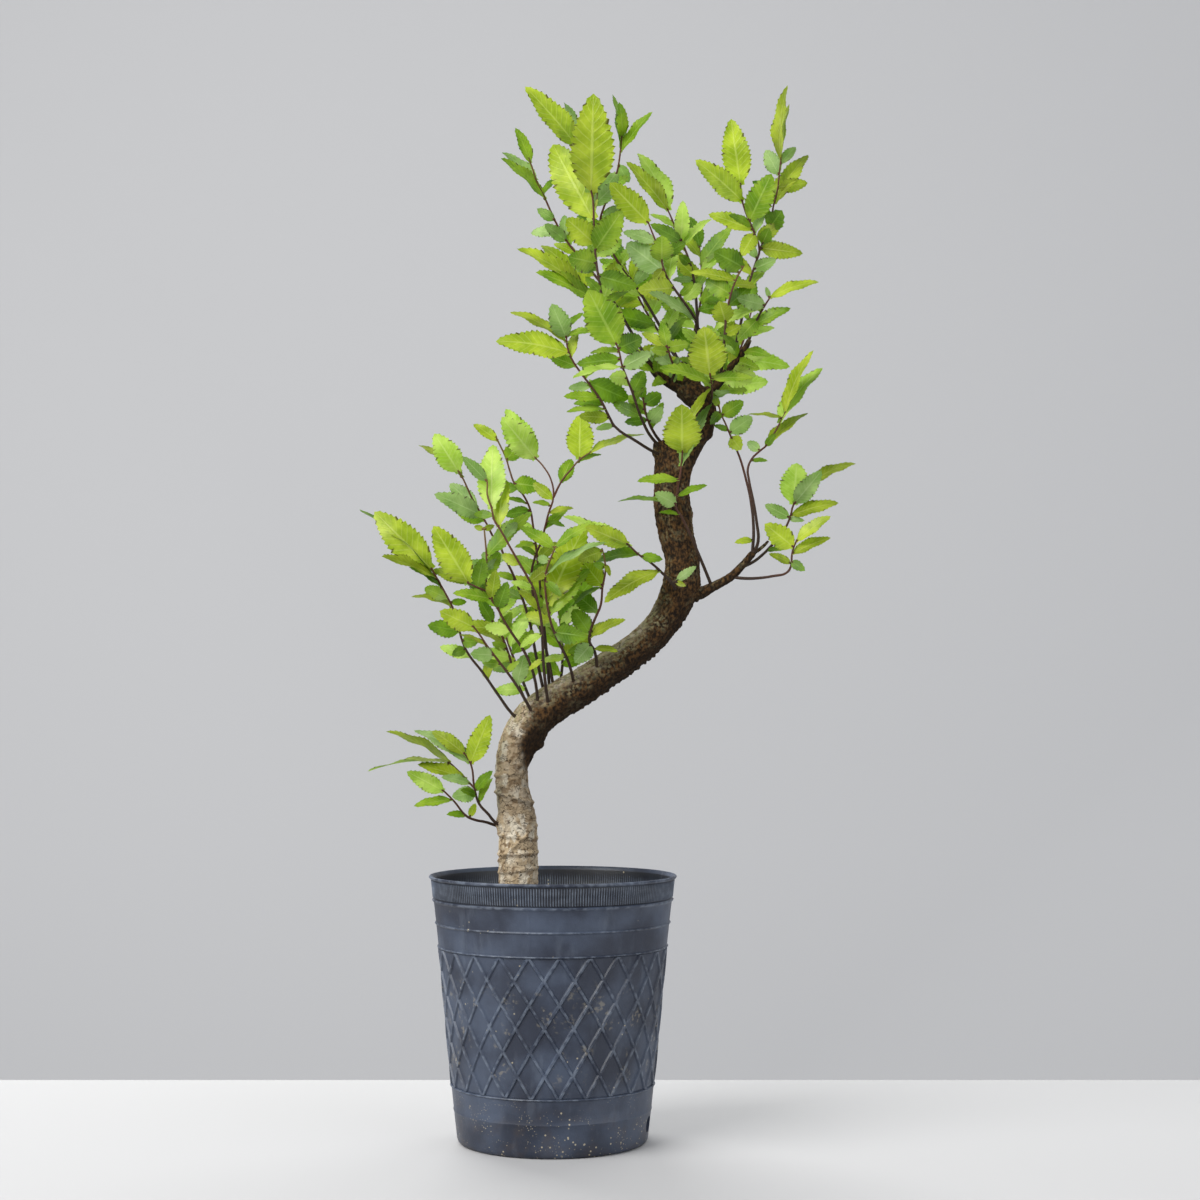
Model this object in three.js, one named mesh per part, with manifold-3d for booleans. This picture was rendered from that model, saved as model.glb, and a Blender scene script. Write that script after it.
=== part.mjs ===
// A Chinese elm bonsai in its ribbed plastic pot. Millimetres, +Z up, front towards -Y.
// The pot stands on z = 0 and its axis is the Z axis. The plant is one trunk with its limbs, and leafy shoots
// that start a small gap off the wood. Each shoot is a thin stem fused with its saw-edged leaves.
import * as THREE from "three";
import Module from "manifold-3d";

const wasm = await Module();
wasm.setup();

// Pot: radii follow the outside of the wall from the foot to the rim.
const POT_HEIGHT = 110;
const RIM_RADIUS = 51.8;
const FOOT_RADIUS = 39.9;
const FOOT_CORNER = 3.4;
const SHOULDER_Z = 99.8;
const SHOULDER_RADIUS = 49.8;
const WALL = 1.7;
const FLOOR = 2;
const RIDGE = 0.55;
const RIDGE_HALF = 0.9;
const BAND_RIDGE_Z = 90.4;
const FLUTE_FROM_Z = 101;
const FLUTE_TO_Z = 108.4;
const FLUTES = 36;
const FLUTE_DEPTH = 0.45;
const DIAMONDS_ROUND = 24;
const DIAMOND_ROWS = 6;
const LATTICE_FROM_Z = 23.7;
const LATTICE_TO_Z = 80.6;
const LATTICE_PHASE = THREE.MathUtils.degToRad(4.5);
const RIB_RISE = 0.3;
const RIB_SINK = 0.35;
const RIB_SHARE = 0.17;
const ROUND = 36;
const DRAIN_HOLES = 5;
const DRAIN_RING = 25;
const DRAIN_RADIUS = 4;
const DRAIN_SIDES = 8;
const SIDE_DRAIN_RADIUS = 3.5;
const SIDE_DRAIN_Z = 8.2;
const SIDE_DRAIN_AT = THREE.MathUtils.degToRad(78);

// Soil: it fills the pot a little way off the wall, with a plain hole for the stem.
const SOIL_TOP = 96;
const SOIL_GAP = 0.4;
const SOIL_GRAIN = 0.9;
const STEM_HOLE_RADIUS = 9.5;
const STEM_HOLE_BOTTOM = 55;

// Where the plant's measures were read: as it looks from EYE, on the upright plane through the pot's axis.
const EYE = new THREE.Vector3(19.7, -900, 178.6);

// Wood.
const JOINT_GAP = 0.3;
const STUB_REACH = 1.6;
const TRUNK_SIDES = 12;
const BARK_FURROW = 0.3;
const BARK_JAG = 0.4;
const TRUNK_RING_STEP = 7.6;
const LIMB_SIDES = 5;
const STEM_SIDES = 3;
const STEM_SLACK = 0.7;
const FOOT_INSET = 1;
const STEM_BASE_RADIUS = 1.05;
const STEM_TIP_RADIUS = 0.65;

// Leaves.
const BLADE = 0.62;
const LEAF_RATIO = 0.36;
const TOOTH_AT = { 1: [0.28, 0.66], 2: [0.28, 0.66], 3: [0.2, 0.5, 0.8], 4: [0.16, 0.38, 0.6, 0.82] };
const NOTCH_LAG = 0.08;
const NOTCH_DEPTH = 0.74;
const NOTCH_FADE = 0.2;
const OBLIQUE = 0.03;
const LEAF_BOW = 0.055;
const LEAF_FOLD = 0.18;
const LONG_LEAF = 27;
const SHORT_LEAF = 17;
const BUD_LEAF = 10.5;
const EDGE_ON = 1.1;

const COLOUR = {
  pot: 0x33383f,
  soil: 0x4a3c2e,
  wood: 0x5b4a36,
  leaf: 0x7fa32a,
  shadeLeaf: 0x568a2c,
};

// The trunk's centre line: across, depth, height and radius.
const TRUNK = [
  [-14.3, 0, 56, 7.4],
  [-14.4, 0, 80, 8],
  [-14.4, 0, 99, 8.3],
  [-14.6, 0, 119, 8.4],
  [-15, -0.5, 133, 8.1],
  [-17.2, -1, 147, 7],
  [-17.4, -1, 155, 6.9],
  [-16, -0.5, 161.5, 7.5],
  [-13.3, 0, 167.5, 8.2],
  [-9, 0.5, 174, 8.6],
  [-3, 1, 179.5, 8.4],
  [5, 1.5, 184.5, 8.1],
  [13, 2, 189.2, 7.9],
  [28, 2, 199.4, 7.4],
  [36.5, 1.5, 205.5, 7.1],
  [43.3, 1, 212, 7.1],
  [48.8, 0.5, 219.6, 7.3],
  [52.6, 0, 227.7, 7.9],
  [54.3, -0.5, 235.7, 7.7],
  [54.2, -1, 243, 7.3],
  [52.4, -1, 250.5, 7.5],
  [51, -0.5, 258, 7.7],
  [50.1, 0, 266, 7.9],
  [50.1, 0, 273.5, 7.6],
  [50.6, 0, 281, 8.2],
  [50.4, 0, 287.5, 7],
];

// Swellings of the trunk: where, how high and how wide.
const BURLS = [
  { at: [-4.6, -1, 164], rise: 3.4, spread: 4 },
  { at: [-8, -1, 158], rise: 1.2, spread: 3 },
  { at: [-24, -2, 131], rise: 1.6, spread: 4 },
  { at: [60.5, -2, 231], rise: 3.6, spread: 5.5 },
  { at: [47, -6, 236], rise: 1.4, spread: 3.5 },
  { at: [42, -1, 287], rise: 1.8, spread: 3.5 },
  { at: [60, 0, 262], rise: 1.4, spread: 2.6 },
  { at: [3, -5, 192], rise: 1.8, spread: 4.5 },
  { at: [-12, -4, 181], rise: 1.6, spread: 4 },
];

// Limbs that grew as one piece with the trunk: across, depth, height and radius.
const LIMBS = {
  pruned_stub: [[50, 0, 282, 5.5], [47.8, -0.5, 288, 5.4], [46.6, -0.8, 293, 4.6]],
  leader: [
    [52, 0, 278, 6], [55.5, 0, 286, 5.4], [60, 0, 293.5, 4.9], [64, 0, 301, 4.7],
    [63.5, 0, 307.5, 5.1], [58.5, 0, 313, 5.6], [54, 0, 315.5, 4.4],
  ],
  left_limb: [[57, 0, 314, 4], [49, -2, 317.5, 3.4], [43, -3, 322, 2.6], [39.5, -4, 327.5, 1.8]],
  centre_limb: [[59, 0, 313, 2.6], [61.3, 1.5, 323, 2], [61.6, 2.5, 333, 1.6], [61.2, 2.5, 341, 1.3]],
  back_limb: [[58, 2, 312, 2.8], [56, 9, 319, 2.2], [54.5, 15, 326, 1.6]],
  right_limb: [
    [61, 0, 309, 3.6], [67, -1, 314.5, 2.6], [71.5, -2, 319.5, 2.1], [76.5, -3, 325.5, 1.8],
    [80.5, -4, 330.8, 1.5], [83.3, -5, 336, 1.2],
  ],
  right_branch: [
    [55, 0, 226, 3.2], [61, -1, 227.3, 2.6], [66, -2, 230, 2.2], [70.5, -3, 232.3, 2],
    [75.5, -4, 235.4, 1.9], [80, -5, 240, 1.7], [84.3, -6, 245, 1.6],
  ],
  bare_twig: [[84, -6, 244.5, 1], [88, -4, 247.3, 0.9], [91, -3, 250.2, 0.7]],
};

// The leafy shoots. A stem is its points: across, depth (away from the eye) and height.
// A leaf is: foot across, foot height, tip across, tip height, depth of the tip from the foot, width as seen.
const SHOOTS = {
  low_sprig_upper: {
    stems: [
      [[-17, -2, 128], [-24.5, -4, 132], [-27, -5, 135], [-31, -6, 139.5], [-33, -7, 146], [-34.5, -8, 156],
        [-37.5, -9, 161]],
      [[-33, -7, 146], [-36.3, -3.5, 149.5], [-40, -1, 153.5], [-44, 1, 157.3]],
    ],
    leaves: [
      [-34.5, 156.5, -26.5, 176.8, -3, 8.6], [-37.3, 160.5, -51, 170, 2, 5.6],
      [-35, 156.5, -58.5, 170.3, 8, 6.6], [-43, 156.5, -70.3, 169.8, -4, 3.5],
      [-36.3, 149.5, -57, 156, 1, 5], [-44, 157, -78, 153, 6, 1.6], [-34.5, 148, -47, 150.6, -3, 3.6],
      [-33, 144, -42.5, 142.5, -4, 6.6], [-32.5, 143, -39, 145.2, -8, 3.2],
      [-32.5, 145, -25.3, 153.3, -6, 4], [-31, 140, -25.3, 150.3, -2, 3],
    ],
  },
  low_sprig_lower: {
    stems: [
      [[-17, 3, 128.5], [-24, 3.5, 130.5], [-28, 2, 131.8], [-33.5, 0, 133], [-36.5, -1, 134.5],
        [-41.5, -3, 140.5], [-46.5, -4, 145.5]],
    ],
    leaves: [
      [-46.5, 145.5, -61.5, 153, -7, 7.2], [-42.5, 141, -58.5, 138.5, -4, 3.6],
      [-36.5, 134.5, -44.8, 135, -5, 2.8], [-35, 134, -32.5, 139.7, 3, 3],
    ],
  },
  left_outer: {
    stems: [
      [[-11, -2, 172], [-17.5, -5, 177.5], [-23, -7, 185], [-30, -9, 195], [-35.5, -11, 202],
        [-38, -12, 207], [-40, -13, 214], [-42, -14, 221], [-45, -15, 227], [-50, -16, 236],
        [-51.5, -16, 238.8]],
    ],
    leaves: [
      [-51.3, 238.3, -75.7, 262.5, 4, 13.2], [-50, 236, -82, 263.5, 16, 1.8],
      [-48.8, 234, -72.5, 243.5, -18, 3.2], [-46.5, 230, -61, 239, -2, 2.6],
      [-44, 224, -36.5, 224.4, 4, 3], [-42.5, 222, -60, 226.5, 6, 2],
      [-39.5, 212, -53, 214.5, -4, 7.2], [-38.3, 208, -31.5, 207.3, -4, 5.6],
      [-37, 204.5, -42.7, 202, -3, 4.2],
    ],
  },
  left_low_front: {
    stems: [
      [[-8, -5, 176], [-12, -9.5, 183.5], [-16, -11, 190], [-20, -13, 195.5], [-25, -15, 202],
        [-28, -16, 206], [-31, -17, 210.5], [-34, -18, 214.5]],
    ],
    leaves: [
      [-34, 214.5, -48, 220.5, -3, 8.4], [-24.8, 202, -35, 202.5, -2, 6.2],
      [-22, 198, -30, 198.6, 3, 3.6], [-27.5, 205.5, -39.5, 210.5, -5, 2],
      [-19.5, 195, -14, 199.5, -3, 2.6],
    ],
  },
  left_low_back: {
    stems: [
      [[-9, 3, 176], [-12.5, 5, 184.5], [-15, 5, 190], [-17.5, 5, 198], [-19, 5, 203], [-21.5, 6, 209.5],
        [-25.5, 8, 216], [-31.3, 10, 223.3]],
    ],
    leaves: [
      [-19.3, 204.5, -25.9, 207.3, -3, 3.8], [-20.5, 207, -31, 211, 3, 2.2],
      [-21, 208.5, -20, 220, 5, 6.8], [-25, 216, -31.5, 226, -4, 5.2],
    ],
  },
  left_middle: {
    stems: [
      [[-6, -4, 179], [-8.3, -9, 194], [-12, -10, 203], [-17, -11, 210.5], [-20.5, -12, 216],
        [-24, -13, 222.5], [-26.5, -13, 226], [-28.3, -12, 233], [-28.2, -11, 243], [-29.3, -9, 256]],
      [[-27.3, -13, 228.5], [-32, -15, 230.5], [-36.5, -16, 232.5]],
    ],
    leaves: [
      [-36.5, 232.5, -50.7, 256.5, -5, 12.6], [-36, 232, -51, 238, 4, 5],
      [-26.3, 225.5, -42.5, 228, -6, 5.2], [-28, 229.5, -36.5, 234, 6, 6],
      [-26, 225.3, -24.3, 238, -4, 6], [-23, 221.5, -19.3, 233, -5, 6.2],
      [-28.3, 239, -36.7, 240, 4, 5.6], [-28.3, 238, -23.5, 242.5, 4, 3.2],
      [-29.2, 255, -33.5, 256.3, 2, 2.4], [-29.2, 255, -24.8, 256.8, -2, 2.6],
      [-28.2, 243.5, -9, 262.3, -3, 6.8],
    ],
  },
  left_tall: {
    stems: [
      [[-3, 4, 182], [-7.5, 3, 203], [-10, 1, 216], [-14, -2, 228.5], [-17, -3, 236], [-20, -4, 242],
        [-22.7, -4, 248], [-25.5, -5, 252], [-28, -6, 257], [-30, -7, 260.5], [-33, -9, 265.5],
        [-35.5, -11, 270.5], [-38, -12, 276], [-40.3, -13, 280]],
    ],
    leaves: [
      [-30.3, 260.5, -50.5, 270, -9, 7.8], [-32, 264, -43.8, 274.5, 7, 7],
      [-40, 280, -50.5, 295.7, -3, 10.4], [-38.5, 277, -57.2, 290.7, 12, 2.8],
      [-16, 233.5, -24, 236.5, 4, 3],
    ],
  },
  left_dark: {
    stems: [
      [[-2, -5, 180], [-4, -14, 197], [-4.5, -16, 207], [-5, -17, 216], [-6.5, -18, 223.5], [-8, -19, 229],
        [-11, -20, 235], [-14.5, -21, 241], [-18, -22, 247], [-20.5, -22, 251.5], [-22.5, -22, 255],
        [-25, -22, 259], [-26, -22, 263.5], [-28, -21, 270], [-28, -20, 275], [-29.2, -19, 278.5]],
    ],
    leaves: [
      [-26, 263.5, -25.6, 291, 14, 11.2], [-22.7, 256, -19.7, 276, 8, 6.8],
      [-28, 275.5, -38.5, 285.9, -2, 5],
      [-8.3, 230, -18, 232.7, -5, 3.4], [-6, 221, -15, 229.3, -6, 3.2], [-4.8, 211, -14, 205, -4, 3.4],
      [-4.5, 200, -10.5, 195.5, 3, 2.4],
    ],
  },
  left_top: {
    stems: [
      [[-1, 6, 181], [-3, 9, 205], [-5, 12, 225], [-7, 14, 245], [-8.5, 14, 256], [-10, 13, 264],
        [-13, 12, 270], [-16.5, 11, 274.5], [-18.5, 10, 280], [-20, 9, 285], [-22.5, 8, 290.5],
        [-24.5, 7, 294.5]],
    ],
    leaves: [
      [-23.5, 292.5, -34, 299.7, 3, 4.6], [-20, 284.5, -14, 292, -5, 7], [-16.5, 274.5, -5, 273, -3, 7.6],
      [-10, 263, -20.7, 261, -2, 5.2], [-11, 266, -20, 268, -5, 2], [-7.5, 249, -16.5, 247.3, -4, 2.6],
    ],
  },
  left_fork: {
    stems: [
      [[1, 0, 183], [-2, -1, 200], [-7, -1, 220], [-9.3, -1, 235], [-7.5, 0, 244], [-5, 0, 250],
        [-3.5, 0, 256], [-2, 0, 262], [0, 0, 268.5], [-1, 1, 276], [-4.5, 2, 282], [-8, 3, 285.7]],
      [[0, 0, 268.5], [3.5, -2, 275.5], [7.5, -3, 280.5], [11, -4, 284.5], [16, -5, 288]],
    ],
    leaves: [
      [-7.7, 285.5, -22, 302.8, -6, 11.4], [-8, 285.8, -20.3, 306.2, 5, 9], [-8, 285.6, -14.3, 288.2, 2, 3],
      [3, 275, 7.7, 284.9, 4, 6.2], [11, 284.7, 11.5, 304, 3, 11.2], [15.5, 287.8, 39, 295.5, 5, 3.6],
      [10, 283.5, 20.5, 286.8, 3, 2.2], [-1.3, 265, -9, 266.5, 4, 2.2], [-2, 262, 8.6, 263.9, -5, 2.8],
      [-3, 258.5, 5, 256, -4, 2.2], [-7.5, 244.5, -14, 247.5, -4, 2.4],
    ],
  },
  left_centre: {
    stems: [
      [[9, 0, 188], [7.6, -9, 195], [6, -11, 200], [3, -13, 206], [0, -15, 212.5], [-2, -17, 220],
        [-3.3, -18, 229], [-3, -19, 237], [-1, -20, 243], [1, -20, 248]],
    ],
    leaves: [
      [-2.4, 223, 13.5, 256.3, 11, 13.6], [-3, 236, 22.5, 249.5, -10, 3.4], [1, 248.2, -14.2, 256, 2, 5.2],
      [1, 248, 18, 257.6, -2, 3.6], [-3, 236.5, -10.2, 235, 4, 4.2], [-1.5, 241.5, -6.7, 243, 5, 3.6],
      [-1.7, 219, 15.5, 238.5, 3, 8], [-0.3, 213.5, -17.2, 216, 9, 3], [5.6, 201, -5, 199.4, 2, 3.2],
      [0.5, 211.5, 14.5, 209.5, -5, 8], [-2.8, 233, 3.5, 226.5, -5, 3.6],
    ],
  },
  left_right_low: {
    stems: [
      [[18.5, -3, 196], [17.3, -9, 203.8], [15.3, -10, 207.5], [15.7, -11, 212], [17.5, -12, 217],
        [20, -13, 223], [20.7, -13, 230], [22, -14, 238], [21.5, -14, 243], [20.5, -15, 247]],
    ],
    leaves: [
      [15.5, 211, 8.3, 221.3, 4, 7.6], [15.5, 209.5, 30.6, 216.8, -8, 3.8],
      [15.7, 211.5, 22.3, 215.8, 4, 3.2],
      [16, 206.5, 9, 198.6, -6, 7.6], [16.3, 206, 6, 203, 4, 4.6], [17, 204.5, 27.3, 203.3, -4, 2.6],
      [20.7, 230.5, 8.8, 223, -3, 2.2], [20.8, 231, 12, 241.8, 6, 8.6], [21.8, 239, 16.8, 240.5, -3, 3.2],
      [20.8, 246.5, 10.3, 241.8, -3, 6.2], [21.8, 240.5, 24, 235, -3, 2.2],
    ],
  },
  branchlet: {
    stems: [
      [[51.5, -6, 229], [50.2, -11.5, 232], [45.5, -13.5, 237], [41, -14, 241], [36.5, -15, 244],
        [31, -16, 249.3]],
      [[50.2, -11.5, 232], [52.7, -13.2, 233.6]],
    ],
    leaves: [
      [31, 249.3, 13.3, 256.3, -9, 7.8], [33, 247.5, 4, 260.5, 3, 3.2], [36, 244.2, 17, 240.3, 12, 4.4],
      [37, 243.8, 46.3, 242.3, -3, 4], [45, 237.5, 21.5, 224, -3, 6], [52.3, 233.3, 60.4, 239.4, -2, 3.6],
      [51.5, 233, 56, 231, -3, 2.2],
    ],
  },
  right_low: {
    stems: [
      [[75, -4, 235], [80, -5.5, 234.3], [86.5, -7, 234.4], [93, -8, 235.3], [98.5, -9, 236.7],
        [100.3, -9, 239.5], [100.7, -10, 244], [101.7, -11, 248], [103, -12, 250.7]],
    ],
    leaves: [
      [101.3, 247.5, 89.2, 257.4, -3, 9.2], [101, 244.5, 117.2, 251.4, -4, 4.6],
      [103, 250.5, 117.2, 260.6, -3, 4.6], [100.5, 241.5, 106.3, 237.4, -4, 4],
      [100.3, 240.5, 90.9, 244.7, -2, 3.4],
    ],
  },
  right_middle: {
    stems: [
      [[79.5, -4, 239], [84, -1, 241], [88, 1, 244], [92, 2, 248], [95.5, 3, 252], [98.5, 3, 256.5],
        [100.3, 3, 261], [101.3, 3, 265], [104.5, 3, 270], [108.5, 4, 274.5]],
    ],
    leaves: [
      [101.4, 265.5, 103, 283.2, 3, 12.4], [101.7, 266, 113.5, 280, -6, 7.8],
      [108.5, 274.5, 128, 282.9, 3, 4.4], [100.3, 260.7, 120.6, 266.2, -4, 5.2],
      [100, 260, 89.3, 265.5, 3, 5.2], [99.8, 259.3, 106.2, 258.6, -3, 2.4],
      [90, 246, 97.6, 246.4, -5, 2.2],
    ],
  },
  right_tall_left: {
    stems: [
      [[84, -6, 244.5], [84.6, -5, 255], [83.3, -4, 268], [81.5, -3, 276], [79, -2, 285], [77, -2, 290],
        [75.5, -2, 293.5], [72.8, -3, 300], [70.8, -4, 304.5], [70, -5, 308]],
    ],
    leaves: [
      [75.3, 294.3, 79.6, 288.7, -4, 6.2], [74.5, 296, 84.2, 302.9, 3, 7.2],
      [71.3, 303.5, 80.6, 309.5, -3, 6.6],
      [74, 297, 67.8, 299.2, -3, 2.4], [84.5, 250.5, 76.4, 249.3, -3, 2.8], [70.6, 305, 66.3, 299.5, -4, 4],
      [70, 308, 66.8, 313.5, -3, 3],
    ],
  },
  right_tall_right: {
    stems: [
      [[84.7, -6, 245], [86.5, -9, 250], [85.9, -11, 258], [84.5, -12, 267], [82.7, -12, 276],
        [82.2, -12, 280.5], [84, -12, 285], [87, -12, 288], [90.3, -12, 290.8], [93, -12, 295],
        [95.5, -12, 299.5], [98.5, -12, 305]],
    ],
    leaves: [
      [90.5, 291, 107.9, 304.5, 6, 4.8], [87.5, 288.5, 82, 292.2, 3, 4.2],
      [89.7, 290.3, 94, 295.8, -6, 3.2],
      [83.7, 284.3, 90.8, 284, -3, 2], [98.3, 304.5, 110.4, 331.3, -3, 5.2],
      [95.7, 300, 114.2, 323.7, 6, 5.8],
      [97, 302.3, 82, 303.8, 4, 2],
    ],
  },
  front_of_trunk: {
    stems: [
      [[67, -2.5, 230.5], [64, -7, 238], [60.7, -10.5, 246], [57.5, -13, 253.5], [54, -15, 260.5],
        [51.7, -16, 264.5], [52.5, -16, 272], [53.7, -16, 279], [54.7, -16, 288.5]],
    ],
    leaves: [
      [54.7, 288.5, 54.3, 308.3, -9, 15.2], [54.7, 288, 67.8, 315.8, 7, 4.6],
      [54.2, 281.7, 67.2, 308.7, 6, 5.4],
      [53.3, 276, 35.4, 275.4, -3, 3.4], [52.2, 268.7, 65.2, 273.7, -2, 2.4],
      [51.8, 265.8, 42.8, 270.5, -7, 6.2],
      [51.7, 264.7, 27, 266.8, 6, 1.6], [53.5, 261.5, 44.5, 262, -4, 2],
    ],
  },
  crown_far_left: {
    stems: [
      [[45.5, -3, 286.5], [41, -6.5, 288.7], [35, -9, 292.5], [26, -11, 298.7], [23.5, -12, 303],
        [20, -13, 310], [15, -14, 317], [12, -15, 321], [8, -16, 327], [6, -16, 332], [5.5, -16, 336],
        [5.8, -16, 342]],
    ],
    leaves: [
      [6.7, 330, -24.6, 335, -4, 9.2], [5.6, 334.5, -18.6, 347.6, 4, 3], [5.6, 336.5, -0.8, 351.2, -4, 8.6],
      [5.5, 337.5, 17.7, 339.6, -3, 2.6], [5.8, 342, 12.7, 347.3, 3, 2.2], [19.6, 311, 4.2, 311.5, -4, 3.8],
      [21.2, 308, 8.4, 308.6, 7, 4.2], [22, 306.3, 5.4, 304.8, -9, 3.2], [23.8, 302.5, 10.7, 303.2, 2, 5.6],
      [14.5, 317.5, 31.7, 310.3, 10, 9.6], [26, 299, 17.8, 297.6, 4, 2.8],
    ],
  },
  crown_left_middle: {
    stems: [
      [[45.5, -3, 289.5], [40.5, -8.5, 295.5], [38, -11, 300.5], [36, -14, 305.5], [33.5, -17, 313],
        [31, -19, 319.5], [29, -21, 325], [28, -22, 330], [26.5, -23, 334.5]],
    ],
    leaves: [
      [26.8, 333.5, 14.5, 357.2, -4, 15.2], [28.5, 327.5, 9.8, 325.4, 3, 6.7],
      [29.5, 324, 8.1, 319.2, -14, 3.8],
      [28, 330.5, 15.4, 330.2, 10, 2.4], [31.2, 319.3, 23.5, 319.8, -6, 6.2],
      [29.5, 324, 41.6, 330.5, -4, 6.6],
      [27.5, 332, 37.6, 336.6, 3, 8.6], [33.5, 313, 38.3, 322.5, 4, 6.2],
    ],
  },
  crown_left_low: {
    stems: [
      [[47, 0, 290], [42.3, -4.5, 296.5], [40, -6, 301.5], [38.5, -7.5, 307], [38, -8, 311]],
    ],
    leaves: [
      [40, 301.5, 30, 300.6, 2, 4.2], [40.2, 300.5, 46.3, 307, -4, 6.2], [38.4, 308, 45.7, 312.8, 3, 6],
      [38.7, 306, 29.3, 306.5, 3, 4.6], [38, 311, 36.5, 319, 3, 4],
    ],
  },
  crown_top_left: {
    stems: [
      [[41.5, -3.5, 325], [34, -6, 331], [26, -8, 340], [21.5, -9, 350], [19.5, -9, 360], [18, -9, 370],
        [17.2, -9, 380], [17, -9, 390], [16.5, -9, 397], [14.5, -9, 404], [11.5, -9, 411], [10, -9, 419.5]],
    ],
    leaves: [
      [10, 419.5, -12.4, 444.7, -6, 10.2], [16.3, 399, 16.9, 441.7, -12, 17.6],
      [17, 387, -0.4, 419.7, 16, 16],
      [17.4, 377, 5.3, 387.7, -3, 10.2], [17.5, 374, 29.2, 391.2, -8, 11.2],
      [18.2, 368.5, 6.1, 371.3, -4, 9.6],
      [19, 363, 35.7, 358.3, -3, 8.2], [10, 419.5, 4.4, 437.7, 14, 4.2],
    ],
  },
  crown_left_fan: {
    stems: [
      [[39.5, -3.5, 326.5], [31, 1, 336], [23, 1, 346], [16.5, 1, 353.5], [13, 1, 356.5]],
    ],
    leaves: [
      [14.5, 355.3, -15.7, 374.7, -5, 5.6], [13.2, 356.4, -5.2, 376.2, 16, 8.6],
      [17, 352.8, -7.7, 364.6, -13, 6.6],
    ],
  },
  crown_wisp_left: {
    stems: [
      [[42, -2, 323.5], [33, 8, 339], [23, 13, 356], [12, 15, 370], [7, 15, 376], [2, 15, 384],
        [-0.7, 14, 389.5], [-4, 13, 397], [-7, 12, 403], [-9, 12, 409], [-10.8, 11, 414]],
    ],
    leaves: [
      [-10, 411.5, -16.4, 426.9, -2, 5], [-3.5, 395.5, -22.7, 413.7, -10, 4.2],
      [-7.5, 404, -22.2, 416.3, 7, 4.2],
      [0.5, 387, -7.2, 392, -3, 4.4], [5.5, 378, -3.9, 385.4, -6, 5.6], [4.7, 379.7, 4.6, 389.3, 4, 4.6],
    ],
  },
  crown_top_centre: {
    stems: [
      [[55, 12, 323], [46, 14, 340], [36, 14, 357], [25, 12, 373], [19.8, 9, 386], [21.5, 8, 393],
        [24.3, 7, 400], [27, 7, 408], [28.3, 7, 416], [29, 7, 423.5]],
    ],
    leaves: [
      [28.6, 418, 25, 441.3, 9, 4.6], [29, 423.5, 27.8, 438, -9, 4.8], [28.4, 416, 42.2, 433.8, -8, 3.8],
      [26.9, 407.5, 18.3, 394.3, -8, 6.6], [27.5, 411, 32.2, 403.2, 3, 5], [20, 387, 29.5, 393.5, -3, 2.8],
    ],
  },
  crown_centre_arch: {
    stems: [
      [[61.2, 2.5, 339.5], [60.6, 5, 352], [59.5, 6, 362], [57.5, 7, 370], [55, 7, 376.5],
        [52.5, 7, 382], [50.5, 7, 387], [48.3, 7, 392]],
    ],
    leaves: [
      [48.5, 391.7, 30.8, 412.2, -7, 7.2], [48.4, 392, 35.8, 415.9, 13, 8.6],
      [54.3, 378, 55, 395.5, -4, 6.4],
      [55.2, 376, 67.3, 387.5, 3, 3.6], [54.3, 378, 41, 385.3, -6, 5.6], [52, 383.5, 40.8, 389.5, 4, 2.4],
      [58, 368, 53.2, 372, -5, 3.8], [59.6, 361, 50.3, 361.3, 4, 3],
    ],
  },
  crown_centre_left: {
    stems: [
      [[61.3, 2, 335], [60.3, -5, 344], [56, -8, 351], [51, -9, 358], [47.5, -10, 364], [46.3, -10, 368],
        [44.5, -10, 375], [42, -10, 381.5], [40, -10, 386.7]],
    ],
    leaves: [
      [40.2, 386.5, 23.8, 403.2, -3, 10.6], [46, 369, 46, 380.5, -4, 9.6],
      [46.8, 366.3, 41.8, 359.3, -2, 4.6],
      [47.3, 364.7, 31, 377.2, 8, 10.6], [43.5, 377.5, 29.5, 382, 6, 5.2], [51, 358, 35.6, 356.8, -7, 9.2],
      [53.5, 354.5, 59.5, 359.8, -4, 3], [60.2, 344.5, 40.3, 356, -14, 3.8],
    ],
  },
  crown_front: {
    stems: [
      [[64.3, -1, 303], [66.7, -9, 309.5], [67.2, -16, 315.5], [66.3, -21, 321.3]],
    ],
    leaves: [
      [66.3, 321.3, 63.8, 341.5, -4, 15.2], [67, 317, 44.8, 323.7, -3, 4.6],
      [66.7, 319, 84.6, 319.2, -2, 3.8],
    ],
  },
  crown_front_left: {
    stems: [
      [[49.5, -2, 317.3], [51.3, -9, 322.5], [49.5, -13, 328.5], [48, -15, 333.3]],
    ],
    leaves: [
      [48.3, 332.5, 57.8, 334.2, -4, 5.2], [48.8, 330.5, 41.3, 331.5, -2, 4.2],
      [48, 333.3, 37.3, 338.8, 3, 4.2],
      [48.1, 333, 46, 343.5, 3, 5],
    ],
  },
  crown_right_top: {
    stems: [
      [[71, -2, 319], [76, 3, 326], [77.5, 6, 334], [79.5, 7, 343], [81.3, 7, 352], [83.7, 7, 362],
        [86, 7, 369], [87.5, 7, 374], [85.2, 6, 382], [81.5, 5, 391], [79.8, 5, 398], [79.6, 5, 403]],
      [[87.5, 7, 374], [90, 8, 379.5], [92.3, 9, 385], [93.5, 9, 393], [95.3, 9, 400], [96.2, 9, 408],
        [97, 9, 415]],
    ],
    leaves: [
      [79.6, 403, 75.6, 430.7, -3, 11.6], [80.3, 395, 60.3, 413, -10, 9.6],
      [84.7, 382.5, 65.8, 389.6, 4, 6.2],
      [84.3, 384, 74.3, 389.3, -5, 3.2], [83.3, 386.5, 92.8, 407, -3, 11], [85.5, 381, 93, 396.5, 5, 4.4],
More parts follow.
